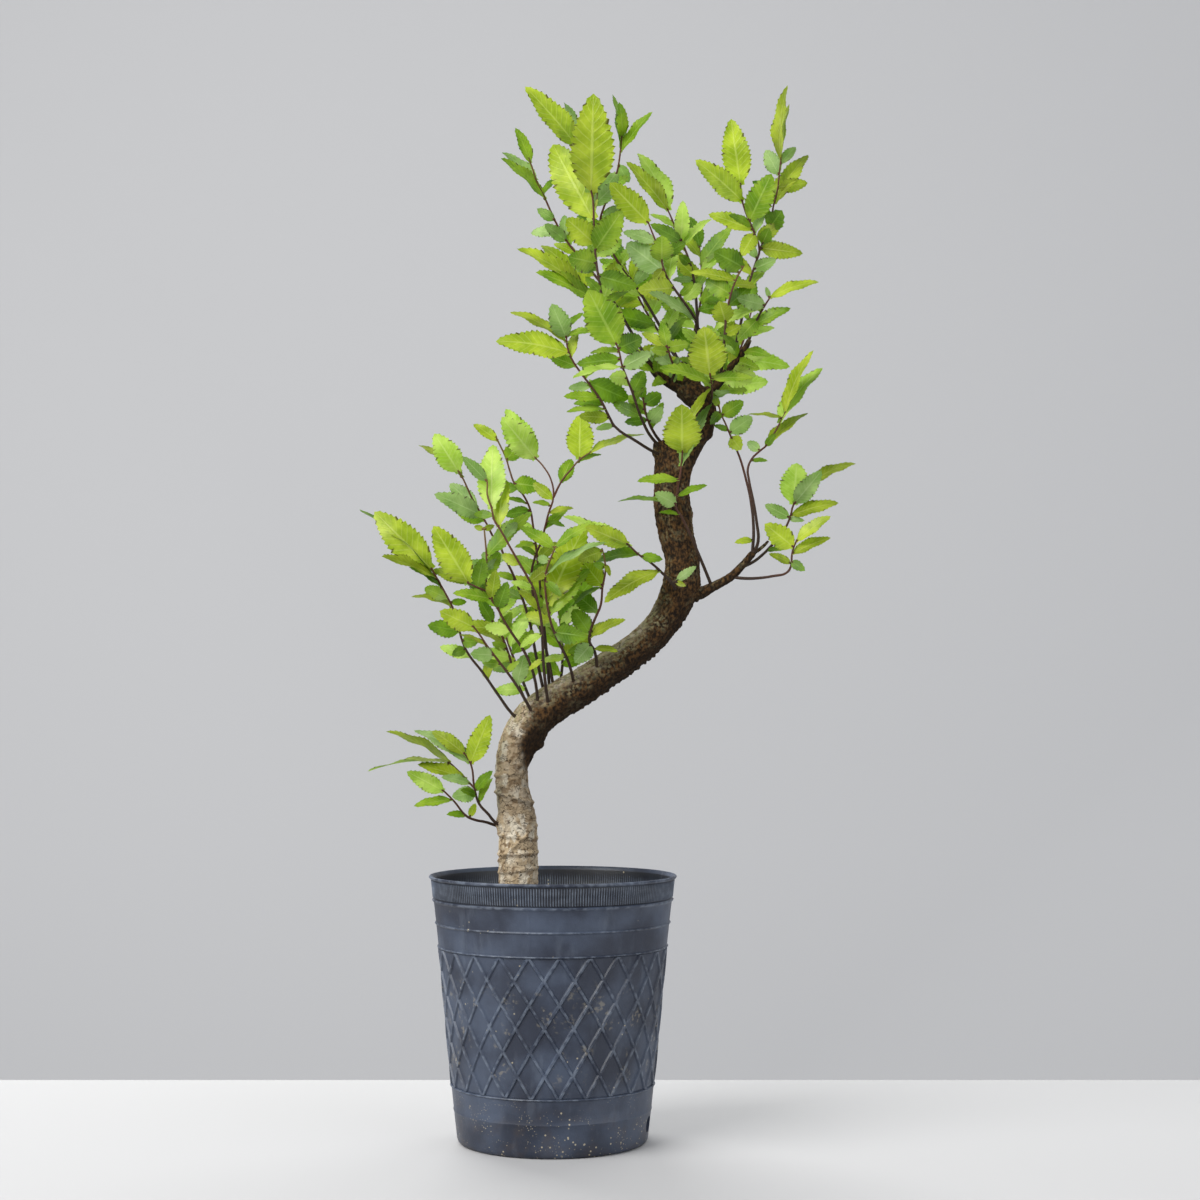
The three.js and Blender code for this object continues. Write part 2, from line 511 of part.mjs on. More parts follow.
      [85.5, 381.3, 79.5, 371.3, -4, 6.6], [86.5, 370.5, 82.3, 377.5, 4, 3.8],
      [96.7, 413, 99.8, 445.3, -3, 4.4],
      [97, 415, 100.6, 437.2, 4, 3.4], [93.7, 394, 108.4, 415.2, 8, 7.2], [96, 406.5, 90.3, 417.3, 5, 7],
      [96.5, 411, 103.2, 418.5, 5, 4.2], [91.7, 383.5, 97.3, 391.3, -5, 8.2],
      [88.7, 376.7, 91.8, 383.8, -5, 5.6],
      [88, 375, 106, 372.7, -4, 7], [87.7, 374.5, 95.7, 377.2, 4, 5], [85, 366, 94.7, 370.3, -3, 5.6],
    ],
  },
  crown_right_low: {
    stems: [
      [[82, -4.5, 333.5], [84.6, -6, 340], [86.7, -7, 345], [89.5, -8, 350], [92.2, -8, 354.3]],
    ],
    leaves: [
      [92, 354, 112.8, 360.4, -4, 4.4], [85.5, 342, 99.4, 348.9, -3, 4.4], [89.3, 349.7, 67.8, 339.8, 6, 4],
      [89.7, 350.5, 77.8, 353.7, -6, 6.6], [86.5, 344.5, 78, 335.3, -6, 6.6],
      [92.2, 354.3, 90.2, 358.4, 2, 2],
    ],
  },
  crown_right_middle: {
    stems: [
      [[70, -1.5, 318], [71.7, -8, 326], [72.5, -11, 336], [73.5, -12, 347], [75.5, -13, 356],
        [78, -13, 362.5], [81, -13, 367.7]],
    ],
    leaves: [
      [80.7, 367.3, 68, 373.7, -3, 9.6], [73.2, 343, 70.3, 352.3, -4, 8.8],
      [75.3, 355.3, 64.5, 361.5, 4, 8.2],
      [72.7, 338, 79.7, 342, -4, 4.2], [77.3, 361, 57.8, 364.7, 5, 4.6], [79, 364.5, 70.3, 367, 3, 2.8],
      [72.3, 333.5, 77.3, 329.3, -3, 2.6],
    ],
  },
};

// Shoots behind the ones that can be seen: a stem, how many leaves it has and how long the longest is.
const BACK_SHOOTS = {
  crown_back_left: {
    stem: [[55.3, 13, 323], [46, 24, 337], [37, 31, 352], [30, 35, 368]],
    count: 5,
    longest: 25,
  },
  crown_back_centre: {
    stem: [[55.5, 12, 322], [60, 27, 340], [63, 35, 358], [62, 40, 376]],
    count: 5,
    longest: 25,
  },
  crown_back_right: {
    stem: [[63, 2, 306], [71, 16, 316], [79, 25, 331], [84, 30, 348]],
    count: 5,
    longest: 24,
  },
  left_back_high: {
    stem: [[2, 6, 182], [4, 19, 203], [2, 28, 222], [-2, 34, 242]],
    count: 5,
    longest: 23,
  },
  left_back_low: {
    stem: [[-8, 5, 179], [-14, 17, 194], [-20, 26, 210], [-24, 32, 226]],
    count: 5,
    longest: 21,
  },
};
const BACK_SPREAD = THREE.MathUtils.degToRad(52);
const BACK_FIRST = 0.42;
const BACK_JITTER = 0.35;

const vector = (p) => new THREE.Vector3(p[0], p[1], p[2]);

// A point of the plant from where it is seen and how far back it is.
function seen(across, height, depth) {
  const reach = (depth - EYE.y) / -EYE.y;
  return new THREE.Vector3(EYE.x + (across - EYE.x) * reach, depth, EYE.z + (height - EYE.z) * reach);
}

// A closed solid from its corners and triangles, turned right side out.
function solid(corners, triangles) {
  const vertProperties = new Float32Array(corners.flatMap((p) => [p.x, p.y, p.z]));
  const triVerts = new Uint32Array(triangles);
  const made = new wasm.Manifold(new wasm.Mesh({ numProp: 3, vertProperties, triVerts }));
  if (made.volume() > 0) return made;
  const turned = triangles.map((_, i) => triangles[i % 3 === 0 ? i : i + (i % 3 === 1 ? 1 : -1)]);
  return new wasm.Manifold(new wasm.Mesh({ numProp: 3, vertProperties, triVerts: new Uint32Array(turned) }));
}

const joined = (solids) => solids.reduce((whole, piece) => whole.add(piece));

// The triangles between two closed rings of corners, however many corners each has.
function between(lower, upper, lowerStart, upperStart) {
  const triangles = [];
  let a = 0;
  let b = 0;
  while (a < lower || b < upper) {
    const p = lowerStart + (a % lower);
    const q = upperStart + (b % upper);
    if (b >= upper || (a < lower && (a + 0.5) / lower <= (b + 0.5) / upper)) {
      triangles.push(p, lowerStart + ((a + 1) % lower), q);
      a += 1;
    } else {
      triangles.push(p, upperStart + ((b + 1) % upper), q);
      b += 1;
    }
  }
  return triangles;
}

// A solid through rings of corners, with a fan over each end.
function loft(rings) {
  const triangles = [];
  let start = 0;
  rings.forEach((ring, i) => {
    const last = i > 0 ? rings[i - 1].length : 0;
    if (i > 0) triangles.push(...between(last, ring.length, start - last, start));
    start += ring.length;
  });
  const last = start - rings.at(-1).length;
  for (let i = 1; i < rings[0].length - 1; i++) triangles.push(0, i + 1, i);
  for (let i = 1; i < rings.at(-1).length - 1; i++) triangles.push(last, last + i, last + i + 1);
  return solid(rings.flat(), triangles);
}

// A round bar through a line of points, each with its radius, by rings square to the line.
function bar(points, radii, sides, swell = () => 0) {
  let across = new THREE.Vector3(1, 0, 0);
  const rings = points.map((centre, i) => {
    const next = points[Math.min(i + 1, points.length - 1)];
    const along = next.clone().sub(points[Math.max(i - 1, 0)]).normalize();
    across = across.clone().addScaledVector(along, -across.dot(along)).normalize();
    const over = along.clone().cross(across);
    return Array.from({ length: sides }, (_, k) => {
      const angle = (2 * Math.PI * k) / sides;
      const out = across.clone().multiplyScalar(Math.cos(angle)).addScaledVector(over, Math.sin(angle));
      const surface = centre.clone().addScaledVector(out, radii[i]);
      return surface.addScaledVector(out, swell(surface, angle, i));
    });
  });
  return loft(rings);
}

function ringOf(radius, z, count, phase = 0) {
  return Array.from({ length: count }, (_, i) => {
    const angle = phase + (2 * Math.PI * i) / count;
    return new THREE.Vector3(radius * Math.sin(angle), -radius * Math.cos(angle), z);
  });
}

function cylinder(radius, from, to, sides) {
  return bar([from, to], [radius, radius], sides);
}

// The pot's outside radius at a height, without ribs and ridges: nearly straight, steeper near the rim.
function potRadius(z) {
  const share = (z - FOOT_CORNER) / (SHOULDER_Z - FOOT_CORNER);
  const belly = 0.9 * Math.sin(Math.PI * share) * (0.5 - share);
  return FOOT_RADIUS + (SHOULDER_RADIUS - FOOT_RADIUS) * share + belly;
}

function ridge(z) {
  return [
    ringOf(potRadius(z - RIDGE_HALF), z - RIDGE_HALF, ROUND, LATTICE_PHASE),
    ringOf(potRadius(z) + RIDGE, z, ROUND, LATTICE_PHASE),
    ringOf(potRadius(z + RIDGE_HALF), z + RIDGE_HALF, ROUND, LATTICE_PHASE),
  ];
}

function fluteRing(radius, z) {
  return ringOf(radius, z, 2 * FLUTES, LATTICE_PHASE).map((p, i) => {
    const scale = 1 + (i % 2 ? FLUTE_DEPTH : 0) / radius;
    return new THREE.Vector3(p.x * scale, p.y * scale, p.z);
  });
}

// The raised lattice: ribs cross at points on seven levels, and the panels between them lie deeper.
function latticePanels(corners, levelStart) {
  const triangles = [];
  const crossing = (column, level) => levelStart[level] + ((column + DIAMONDS_ROUND) % DIAMONDS_ROUND);
  const sunk = (point, centre) => {
    const moved = point.clone().lerp(centre, RIB_SHARE);
    const radius = potRadius(moved.z) - RIB_SINK;
    const flat = Math.hypot(moved.x, moved.y);
    return new THREE.Vector3((moved.x * radius) / flat, (moved.y * radius) / flat, moved.z);
  };
  const panel = (outline) => {
    const centre = outline.reduce((sum, i) => sum.add(corners[i]), new THREE.Vector3());
    centre.divideScalar(outline.length);
    const inner = outline.map((i) => corners.push(sunk(corners[i], centre)) - 1);
    outline.forEach((a, k) => {
      const next = (k + 1) % outline.length;
      triangles.push(a, outline[next], inner[next], a, inner[next], inner[k]);
    });
    for (let k = 1; k < inner.length - 1; k++) triangles.push(inner[0], inner[k], inner[k + 1]);
  };
  for (let level = 0; level <= DIAMOND_ROWS; level++) {
    const shift = level % 2;
    for (let column = 0; column < DIAMONDS_ROUND; column++) {
      const left = crossing(column, level);
      const right = crossing(column + 1, level);
      const lower = level > 0 ? [crossing(column + shift, level - 1)] : [];
      const upper = level < DIAMOND_ROWS ? [crossing(column + shift, level + 1)] : [];
      panel([left, ...lower, right, ...upper]);
    }
  }
  return triangles;
}

function potWall() {
  const below = [
    ringOf(FOOT_RADIUS - FOOT_CORNER * 0.6, 0, ROUND, LATTICE_PHASE),
    ringOf(FOOT_RADIUS - 0.4, FOOT_CORNER * 0.4, ROUND, LATTICE_PHASE),
    ringOf(potRadius(LATTICE_FROM_Z - RIDGE_HALF), LATTICE_FROM_Z - RIDGE_HALF, ROUND, LATTICE_PHASE),
  ];
  const step = (LATTICE_TO_Z - LATTICE_FROM_Z) / DIAMOND_ROWS;
  const lattice = Array.from({ length: DIAMOND_ROWS + 1 }, (_, level) => {
    const z = LATTICE_FROM_Z + level * step;
    const rise = level % DIAMOND_ROWS ? RIB_RISE : RIDGE;
    const shift = level % 2 ? Math.PI / DIAMONDS_ROUND : 0;
    return ringOf(potRadius(z) + rise, z, DIAMONDS_ROUND, LATTICE_PHASE + shift);
  });
  const lip = RIM_RADIUS - 0.7;
  const above = [
    ringOf(potRadius(LATTICE_TO_Z + RIDGE_HALF), LATTICE_TO_Z + RIDGE_HALF, ROUND, LATTICE_PHASE),
    ...ridge(BAND_RIDGE_Z),
    ringOf(SHOULDER_RADIUS, SHOULDER_Z - 0.6, ROUND, LATTICE_PHASE),
    ringOf(SHOULDER_RADIUS + RIDGE, SHOULDER_Z + 0.3, ROUND, LATTICE_PHASE),
    fluteRing(SHOULDER_RADIUS - 0.1, FLUTE_FROM_Z),
    fluteRing(lip - 0.6, FLUTE_TO_Z),
    ringOf(RIM_RADIUS, FLUTE_TO_Z + 0.7, ROUND, LATTICE_PHASE),
    ringOf(RIM_RADIUS - 0.2, POT_HEIGHT, ROUND, LATTICE_PHASE),
    ringOf(lip - 0.9, POT_HEIGHT - 0.1, ROUND, LATTICE_PHASE),
    fluteRing(lip - 0.7 - WALL, FLUTE_TO_Z - 0.6),
    ringOf(potRadius(SHOULDER_Z) - WALL, SHOULDER_Z - 1.5, DIAMONDS_ROUND, LATTICE_PHASE),
    ringOf(potRadius(FOOT_CORNER) - WALL, FOOT_CORNER + 1, DIAMONDS_ROUND, LATTICE_PHASE),
    ringOf(FOOT_RADIUS - FOOT_CORNER - WALL, FLOOR, DIAMONDS_ROUND, LATTICE_PHASE),
  ];
  const corners = [];
  const triangles = [];
  const starts = (rings) => rings.map((ring) => corners.push(...ring) - ring.length);
  const stitch = (rings, first) => {
    for (let i = 1; i < rings.length; i++)
      triangles.push(...between(rings[i - 1].length, rings[i].length, first[i - 1], first[i]));
  };
  const belowStart = starts(below);
  const latticeStart = starts(lattice);
  const aboveStart = starts(above);
  stitch(below, belowStart);
  stitch([below.at(-1), lattice[0]], [belowStart.at(-1), latticeStart[0]]);
  triangles.push(...latticePanels(corners, latticeStart));
  stitch([lattice.at(-1), above[0]], [latticeStart.at(-1), aboveStart[0]]);
  stitch(above, aboveStart);
  for (let i = 1; i < ROUND - 1; i++) triangles.push(belowStart[0], belowStart[0] + i + 1, belowStart[0] + i);
  const floor = aboveStart.at(-1);
  for (let i = 1; i < DIAMONDS_ROUND - 1; i++) triangles.push(floor, floor + i, floor + i + 1);
  return solid(corners, triangles);
}

function pot() {
  const holes = Array.from({ length: DRAIN_HOLES }, (_, i) => {
    const angle = (2 * Math.PI * (i + 0.5)) / DRAIN_HOLES;
    const at = new THREE.Vector3(DRAIN_RING * Math.cos(angle), DRAIN_RING * Math.sin(angle), -1);
    return cylinder(DRAIN_RADIUS, at, at.clone().setZ(FLOOR + 1), DRAIN_SIDES);
  });
  const sides = [SIDE_DRAIN_AT, SIDE_DRAIN_AT + Math.PI].map((angle) => {
    const out = new THREE.Vector3(Math.sin(angle), -Math.cos(angle), 0);
    const from = out.clone().multiplyScalar(FOOT_RADIUS - 6).setZ(SIDE_DRAIN_Z);
    return cylinder(SIDE_DRAIN_RADIUS, from, from.clone().addScaledVector(out, 12), DRAIN_SIDES);
  });
  return [...holes, ...sides].reduce((wall, hole) => wall.subtract(hole), potWall());
}

// A repeatable draw between -1 and 1.
function draw(index, stream) {
  const value = Math.sin(index * 12.9898 + stream * 78.233) * 43758.5453;
  return 2 * (value - Math.floor(value)) - 1;
}

function soil() {
  const inside = (z) => potRadius(z) - WALL - SOIL_GAP;
  const foot = FOOT_CORNER + 1.5;
  const crumb = (radius, count, stream) =>
    ringOf(radius, SOIL_TOP, count, LATTICE_PHASE).map((p, i) =>
      p.setZ(SOIL_TOP + SOIL_GRAIN * draw(i, stream)),
    );
  const body = loft([
    ringOf(FOOT_RADIUS - FOOT_CORNER - WALL - SOIL_GAP, FLOOR + SOIL_GAP, DIAMONDS_ROUND, LATTICE_PHASE),
    ringOf(inside(foot), foot + 1, DIAMONDS_ROUND, LATTICE_PHASE),
    ringOf(inside(SOIL_TOP - 2), SOIL_TOP - 2, DIAMONDS_ROUND, LATTICE_PHASE),
    crumb(inside(SOIL_TOP) - 2.5, DIAMONDS_ROUND, 1),
    crumb(32, 16, 2),
    crumb(19, 9, 3),
  ]);
  const [x, y] = TRUNK[1];
  const hole = cylinder(STEM_HOLE_RADIUS, vector([x, y, STEM_HOLE_BOTTOM]), vector([x, y, SOIL_TOP + 5]), 16);
  return body.subtract(hole);
}

// The trunk's line, closer spaced along a smooth curve, with a radius for each of its points.
function trunkLine() {
  const curve = new THREE.CatmullRomCurve3(TRUNK.map((p) => seen(p[0], p[2], p[1])), false, "centripetal");
  const count = Math.round(curve.getLength() / TRUNK_RING_STEP);
  const line = { points: [], radii: [] };
  for (let i = 0; i <= count; i++) {
    const t = curve.getUtoTmapping(i / count) * (TRUNK.length - 1);
    const low = Math.min(Math.floor(t), TRUNK.length - 2);
    line.points.push(curve.getPointAt(i / count));
    line.radii.push(THREE.MathUtils.lerp(TRUNK[low][3], TRUNK[low + 1][3], t - low));
  }
  return line;
}

// Bark: low uneven furrows, the burls, and a jagged underside where the trunk leans.
function barkSwell(point, angle, ring) {
  if (point.z < SOIL_TOP) return 0;
  const furrows = BARK_FURROW * (Math.sin(4 * angle + 0.9 * ring) + 0.7 * Math.sin(7 * angle - 1.7 * ring));
  const burls = BURLS.reduce((sum, burl) => {
    const distance = point.distanceTo(vector(burl.at));
    return sum + burl.rise * Math.exp(-((distance / burl.spread) ** 2));
  }, 0);
  return furrows + burls + BARK_JAG * draw(ring, Math.round(angle * 10));
}

const trunk = trunkLine();
const limbs = Object.values(LIMBS).map((rows) => ({
  points: rows.map((p) => seen(p[0], p[2], p[1])),
  radii: rows.map((p) => p[3]),
}));

// How far a point is outside the wood, taking each stretch of wood as a cone.
function outsideWood(point) {
  let least = Infinity;
  for (const { points, radii } of [trunk, ...limbs]) {
    for (let i = 1; i < points.length; i++) {
      const line = new THREE.Line3(points[i - 1], points[i]);
      const t = line.closestPointToPointParameter(point, true);
      const radius = THREE.MathUtils.lerp(radii[i - 1], radii[i], t);
      least = Math.min(least, line.at(t, new THREE.Vector3()).distanceTo(point) - radius);
    }
  }
  return least;
}

// Cuts a stem in two where it is clear of the wood: a stub that belongs to the wood, and the shoot's part.
function splitStem(points) {
  const line = new THREE.CurvePath();
  for (let i = 1; i < points.length; i++) line.add(new THREE.LineCurve3(points[i - 1], points[i]));
  const length = line.getLength();
  let reach = 0;
  while (reach < length && outsideWood(line.getPointAt(reach / length)) < STUB_REACH) reach += 0.25;
  const lengths = line.getCurveLengths();
  const radiusAt = (s) => THREE.MathUtils.lerp(STEM_BASE_RADIUS, STEM_TIP_RADIUS, s / length);
  const at = (s) => line.getPointAt(s / length);
  const own = [at(reach + JOINT_GAP)];
  const radii = [radiusAt(reach)];
  points.slice(1).forEach((p, i) => {
    if (lengths[i] < reach + 1.5) return;
    own.push(p);
    radii.push(radiusAt(lengths[i]));
  });
  const stub = [points[0], ...points.slice(1).filter((_, i) => lengths[i] < reach - 0.5), at(reach)];
  return { own, radii, stub, stubRadii: stub.map(() => radiusAt(0)) };
}

// Half the width of a leaf along its length, as a share of the widest.
const leafProfile = (s) => Math.sin(Math.PI * s ** 0.85) ** 0.75;

// Half the outline of a leaf, from the foot to the tip: teeth that point forward, with a notch behind each.
function leafEdge(teeth, late) {
  const edge = [];
  TOOTH_AT[teeth].forEach((at, i) => {
    const s = at + late;
    edge.push([s, leafProfile(s)]);
    const notch = s + NOTCH_LAG;
    if (i < teeth - 1) edge.push([notch, (NOTCH_DEPTH + NOTCH_FADE * s) * leafProfile(notch)]);
  });
  return edge;
}

// How many teeth a leaf has a side: none on the smallest, few on the short ones and those seen from the edge.
function toothCount(length, turn) {
  if (length < BUD_LEAF) return 1;
  if (length < SHORT_LEAF || turn > EDGE_ON) return 2;
  return length < LONG_LEAF ? 3 : 4;
}

// A thin blade from its foot to its tip, bowed along and raised at the edges, and turned from the eye until
// it looks as wide as it should. Both faces are split into the same triangles, between one edge and the other.
function leaf(foot, tip, seenWidth) {
  const along = tip.clone().sub(foot);
  const length = along.length();
  along.normalize();
  const width = Math.max(seenWidth, LEAF_RATIO * length);
  const turn = Math.acos(seenWidth / width);
  const towardsEye = EYE.clone().sub(foot).normalize();
  const facing = towardsEye.addScaledVector(along, -towardsEye.dot(along)).normalize();
  const aside = along.clone().cross(facing);
  if (aside.z < 0) aside.negate();
  const face = facing.multiplyScalar(Math.cos(turn)).addScaledVector(aside, Math.sin(turn));
  const across = face.clone().cross(along);
  const teeth = toothCount(length, turn);
  const place = (s, half, layer) => {
    const lift = 4 * LEAF_BOW * length * s * (1 - s) + LEAF_FOLD * Math.abs(half) + 0.5 * BLADE * layer;
    const middle = foot.clone().addScaledVector(along, s * length);
    return middle.addScaledVector(across, half).addScaledVector(face, lift);
  };
  const left = leafEdge(teeth, 0).map(([s, w]) => [s, 0.5 * width * w]);
  const right = leafEdge(teeth, OBLIQUE).map(([s, w]) => [s, -0.5 * width * w]);
  const corners = [foot, tip, ...[1, -1].flatMap((k) => [...left, ...right].map(([s, w]) => place(s, w, k)))];
  const count = left.length;
  const row = (start) => [0, ...Array.from({ length: count }, (_, i) => start + i), 1];
  const [leftOver, rightOver, leftUnder, rightUnder] = [0, 1, 2, 3].map((i) => row(2 + i * count));
  const strip = (a, b) => a.slice(1).flatMap((_, i) => {
    const first = i === 0 ? [] : [a[i], b[i], a[i + 1]];
    const second = i === count ? [] : [b[i], b[i + 1], a[i + 1]];
    return [...first, ...second];
  });
  return solid(corners, [
    ...strip(leftOver, rightOver),
    ...strip(rightOver, rightUnder),
    ...strip(rightUnder, leftUnder),
    ...strip(leftUnder, leftOver),
  ]);
}

// The point of a shoot's stems that is seen nearest to a place.
function nearestOnStems(stems, across, height) {
  let best = null;
  for (const stem of stems) {
    for (let i = 1; i < stem.length; i++) {
      const [ax, ad, az] = stem[i - 1];
      const [bx, bd, bz] = stem[i];
      const run = (bx - ax) ** 2 + (bz - az) ** 2;
      const most = i < stem.length - 1 ? 1 : 1 - FOOT_INSET / Math.sqrt(run);
      const t = THREE.MathUtils.clamp(((across - ax) * (bx - ax) + (height - az) * (bz - az)) / run, 0, most);
      const x = ax + t * (bx - ax);
      const z = az + t * (bz - az);
      const distance = Math.hypot(across - x, height - z);
      if (!best || distance < best.distance) best = { distance, x, z, depth: ad + t * (bd - ad) };
    }
  }
  return best;
}

// A stem with only the points that its bends need.
function lean(stem) {
  const kept = [stem[0]];
  for (let i = 1; i < stem.length - 1; i++) {
    const line = new THREE.Line3(vector(kept.at(-1)), vector(stem[i + 1]));
    const nearest = line.closestPointToPoint(vector(stem[i]), true, new THREE.Vector3());
    if (nearest.distanceTo(vector(stem[i])) > STEM_SLACK) kept.push(stem[i]);
  }
  return [...kept, stem.at(-1)];
}

function leavesOf({ stems, leaves }) {
  return leaves.map(([footX, footZ, tipX, tipZ, back, width]) => {
    const on = nearestOnStems(stems, footX, footZ);
    return leaf(seen(on.x, on.z, on.depth), seen(tipX, tipZ, on.depth + back), width);
  });
}

// Leaves by turns on the two sides of a stem, longest in the middle, the last one going on from the stem.
function alternateLeaves({ stem, count, longest }, stream) {
  const line = new THREE.CurvePath();
  const points = stem.map((p) => seen(p[0], p[2], p[1]));
  for (let i = 1; i < points.length; i++) line.add(new THREE.LineCurve3(points[i - 1], points[i]));
  return Array.from({ length: count }, (_, i) => {
    const share = i / (count - 1);
    const t = BACK_FIRST + (0.99 - BACK_FIRST) * share;
    const foot = line.getPointAt(t);
    const along = line.getTangentAt(t);
    const aside = new THREE.Vector3(along.z, 0, -along.x).normalize();
    const side = (i % 2 ? 1 : -1) * (i === count - 1 ? 0.2 : 1);
    const way = along.clone().multiplyScalar(Math.cos(BACK_SPREAD));
    way.addScaledVector(aside, side * Math.sin(BACK_SPREAD));
    const jitter = new THREE.Vector3(0, draw(i, stream), draw(i, stream + 1));
    way.addScaledVector(jitter, BACK_JITTER).normalize();
    const length = longest * (0.55 + 0.45 * Math.sin(Math.PI * (0.15 + 0.7 * share)));
    const width = length * (0.34 + 0.08 * draw(i, stream + 2));
    return leaf(foot, foot.clone().addScaledVector(way, length), width);
  });
}

const STUBS = [];

function shoot(stems, leaves) {
  const first = splitStem(stems[0].map((p) => seen(p[0], p[2], p[1])));
  STUBS.push(bar(first.stub, first.stubRadii, STEM_SIDES));
  const side = stems.slice(1).map((stem) => {
    const points = stem.map((p) => seen(p[0], p[2], p[1]));
    return bar(points, points.map(() => STEM_TIP_RADIUS), STEM_SIDES);
  });
  return joined([bar(first.own, first.radii, STEM_SIDES), ...side, ...leaves]);
}

function wood() {
  const stem = bar(trunk.points, trunk.radii, TRUNK_SIDES, barkSwell);
  return joined([stem, ...limbs.map(({ points, radii }) => bar(points, radii, LIMB_SIDES)), ...STUBS]);
}

const material = (color, roughness) => new THREE.MeshStandardMaterial({ color, roughness, metalness: 0 });

function meshOf(name, made, look) {
  const { vertProperties, triVerts } = made.getMesh();
  const geometry = new THREE.BufferGeometry();
  geometry.setAttribute("position", new THREE.BufferAttribute(vertProperties, 3));
  geometry.setIndex(new THREE.BufferAttribute(triVerts, 1));
  geometry.computeVertexNormals();
  const mesh = new THREE.Mesh(geometry, look);
  mesh.name = name;
  return mesh;
}

const bonsai = new THREE.Group();
const leafLook = material(COLOUR.leaf, 0.55);
const shadeLook = material(COLOUR.shadeLeaf, 0.6);
for (const [name, { stems, leaves }] of Object.entries(SHOOTS)) {
  const plan = { stems: stems.map(lean), leaves };
  bonsai.add(meshOf(name, shoot(plan.stems, leavesOf(plan)), leafLook));
}
Object.entries(BACK_SHOOTS).forEach(([name, plan], i) => {
  bonsai.add(meshOf(name, shoot([plan.stem], alternateLeaves(plan, 10 * i)), shadeLook));
});
bonsai.add(meshOf("trunk", wood(), material(COLOUR.wood, 0.85)));
bonsai.add(meshOf("soil", soil(), material(COLOUR.soil, 0.95)));
bonsai.add(meshOf("pot", pot(), material(COLOUR.pot, 0.5)));

export default bonsai;
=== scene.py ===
"""A Chinese elm bonsai in its ribbed nursery pot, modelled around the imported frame.

Measures are in millimetres and are scaled by MM where they meet Blender, which works in metres. +Z is up, the
pot stands on z = 0 with its axis on Z, and the viewer of the photograph looks along +Y. Vertices nearer to
each other than SAME_SPOT, in metres, are one.
"""
import logging
import math
import random
from collections.abc import Callable, Iterator, Sequence
from contextlib import contextmanager
from dataclasses import dataclass, field
from enum import Enum
from functools import reduce
from typing import Any

import bmesh
import bpy
import numpy as np
from mathutils import Matrix, Vector, noise


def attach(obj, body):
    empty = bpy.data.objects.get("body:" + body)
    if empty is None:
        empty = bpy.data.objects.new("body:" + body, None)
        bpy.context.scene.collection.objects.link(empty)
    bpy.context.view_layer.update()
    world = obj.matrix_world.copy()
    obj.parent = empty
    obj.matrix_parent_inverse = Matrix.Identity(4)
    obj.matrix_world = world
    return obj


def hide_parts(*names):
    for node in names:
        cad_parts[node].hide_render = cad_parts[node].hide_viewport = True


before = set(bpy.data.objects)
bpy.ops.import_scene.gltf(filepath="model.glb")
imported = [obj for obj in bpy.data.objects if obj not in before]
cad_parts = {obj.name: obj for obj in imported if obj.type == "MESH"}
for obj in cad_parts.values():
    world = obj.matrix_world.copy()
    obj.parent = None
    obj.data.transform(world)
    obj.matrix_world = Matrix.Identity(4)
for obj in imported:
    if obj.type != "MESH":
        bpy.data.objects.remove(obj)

log = logging.getLogger("bonsai")

MM = 0.001
SAME_SPOT = 1e-6
BODY = "root"
SOIL_TOP = 96.0
EYE = Vector((19.7, -900.0, 178.6))
EYE_PITCH = 2.96
LENS = 64.11
SENSOR = 36.0

Colour = tuple[float, float, float]
Row = tuple[float, ...]


def rgb(*channels: int) -> Colour:
    """Turns a screen colour, each channel 0 to 255, into the linear colour that a shader takes."""
    shares = [channel / 255 for channel in channels]
    return tuple(share / 12.92 if share < 0.0405 else ((share + 0.055) / 1.055) ** 2.4 for share in shares)


def seen(across: float, height: float, depth: float) -> Vector:
    """Finds a point of the plant from where the viewer sees it.

    Args:
        across: where it is seen on the upright plane through the pot's axis, in mm.
        height: how high it is seen on that plane.
        depth: how far it really is behind that plane.

    Returns:
        The point in space, in mm.
    """
    reach = (depth - EYE.y) / -EYE.y
    return Vector((EYE.x + (across - EYE.x) * reach, depth, EYE.z + (height - EYE.z) * reach))


def draw(index: int, stream: int) -> float:
    """A repeatable draw between -1 and 1."""
    value = math.sin(index * 12.9898 + stream * 78.233) * 43758.5453
    return 2 * (value - math.floor(value)) - 1


def ramp(values: np.ndarray, start: float, length: float) -> np.ndarray:
    """Rises evenly from 0 at the start to 1 a length further on; with a negative length, further down."""
    return np.clip((values - start) / length, 0, 1)


def leg_at(runs: Sequence[float], reach: float) -> tuple[int, float]:
    """Finds the leg of a line in which a point lies.

    Args:
        runs: how long each leg is.
        reach: how far along the line the point is.

    Returns:
        The leg's number, and how far into the leg the point is.
    """
    leg = 0
    while leg < len(runs) - 1 and reach > runs[leg]:
        reach -= runs[leg]
        leg += 1
    return leg, reach


def alone(piece: bpy.types.Object) -> None:
    """Makes a piece the only one selected, and the active one.

    Args:
        piece: the piece to select.
    """
    bpy.ops.object.select_all(action="DESELECT")
    piece.select_set(True)
    bpy.context.view_layer.objects.active = piece


def settled(name: str) -> bpy.types.Object:
    """Names the piece just added, and puts its place, turn and size into its mesh.

    Args:
        name: what the piece is called.

    Returns:
        The piece.
    """
    piece = bpy.context.object
    piece.name = piece.data.name = name
    alone(piece)
    bpy.ops.object.transform_apply(location=True, rotation=True, scale=True)
    return piece


@contextmanager
def editing(piece: bpy.types.Object) -> Iterator[None]:
    """Opens a piece in edit mode, by its vertices, and leaves it again at the end.

    Args:
        piece: the mesh to edit.

    Yields:
        Nothing, while the piece is open.
    """
    alone(piece)
    bpy.ops.object.mode_set(mode="EDIT")
    bpy.ops.mesh.select_mode(type="VERT")
    yield
    bpy.ops.object.mode_set(mode="OBJECT")


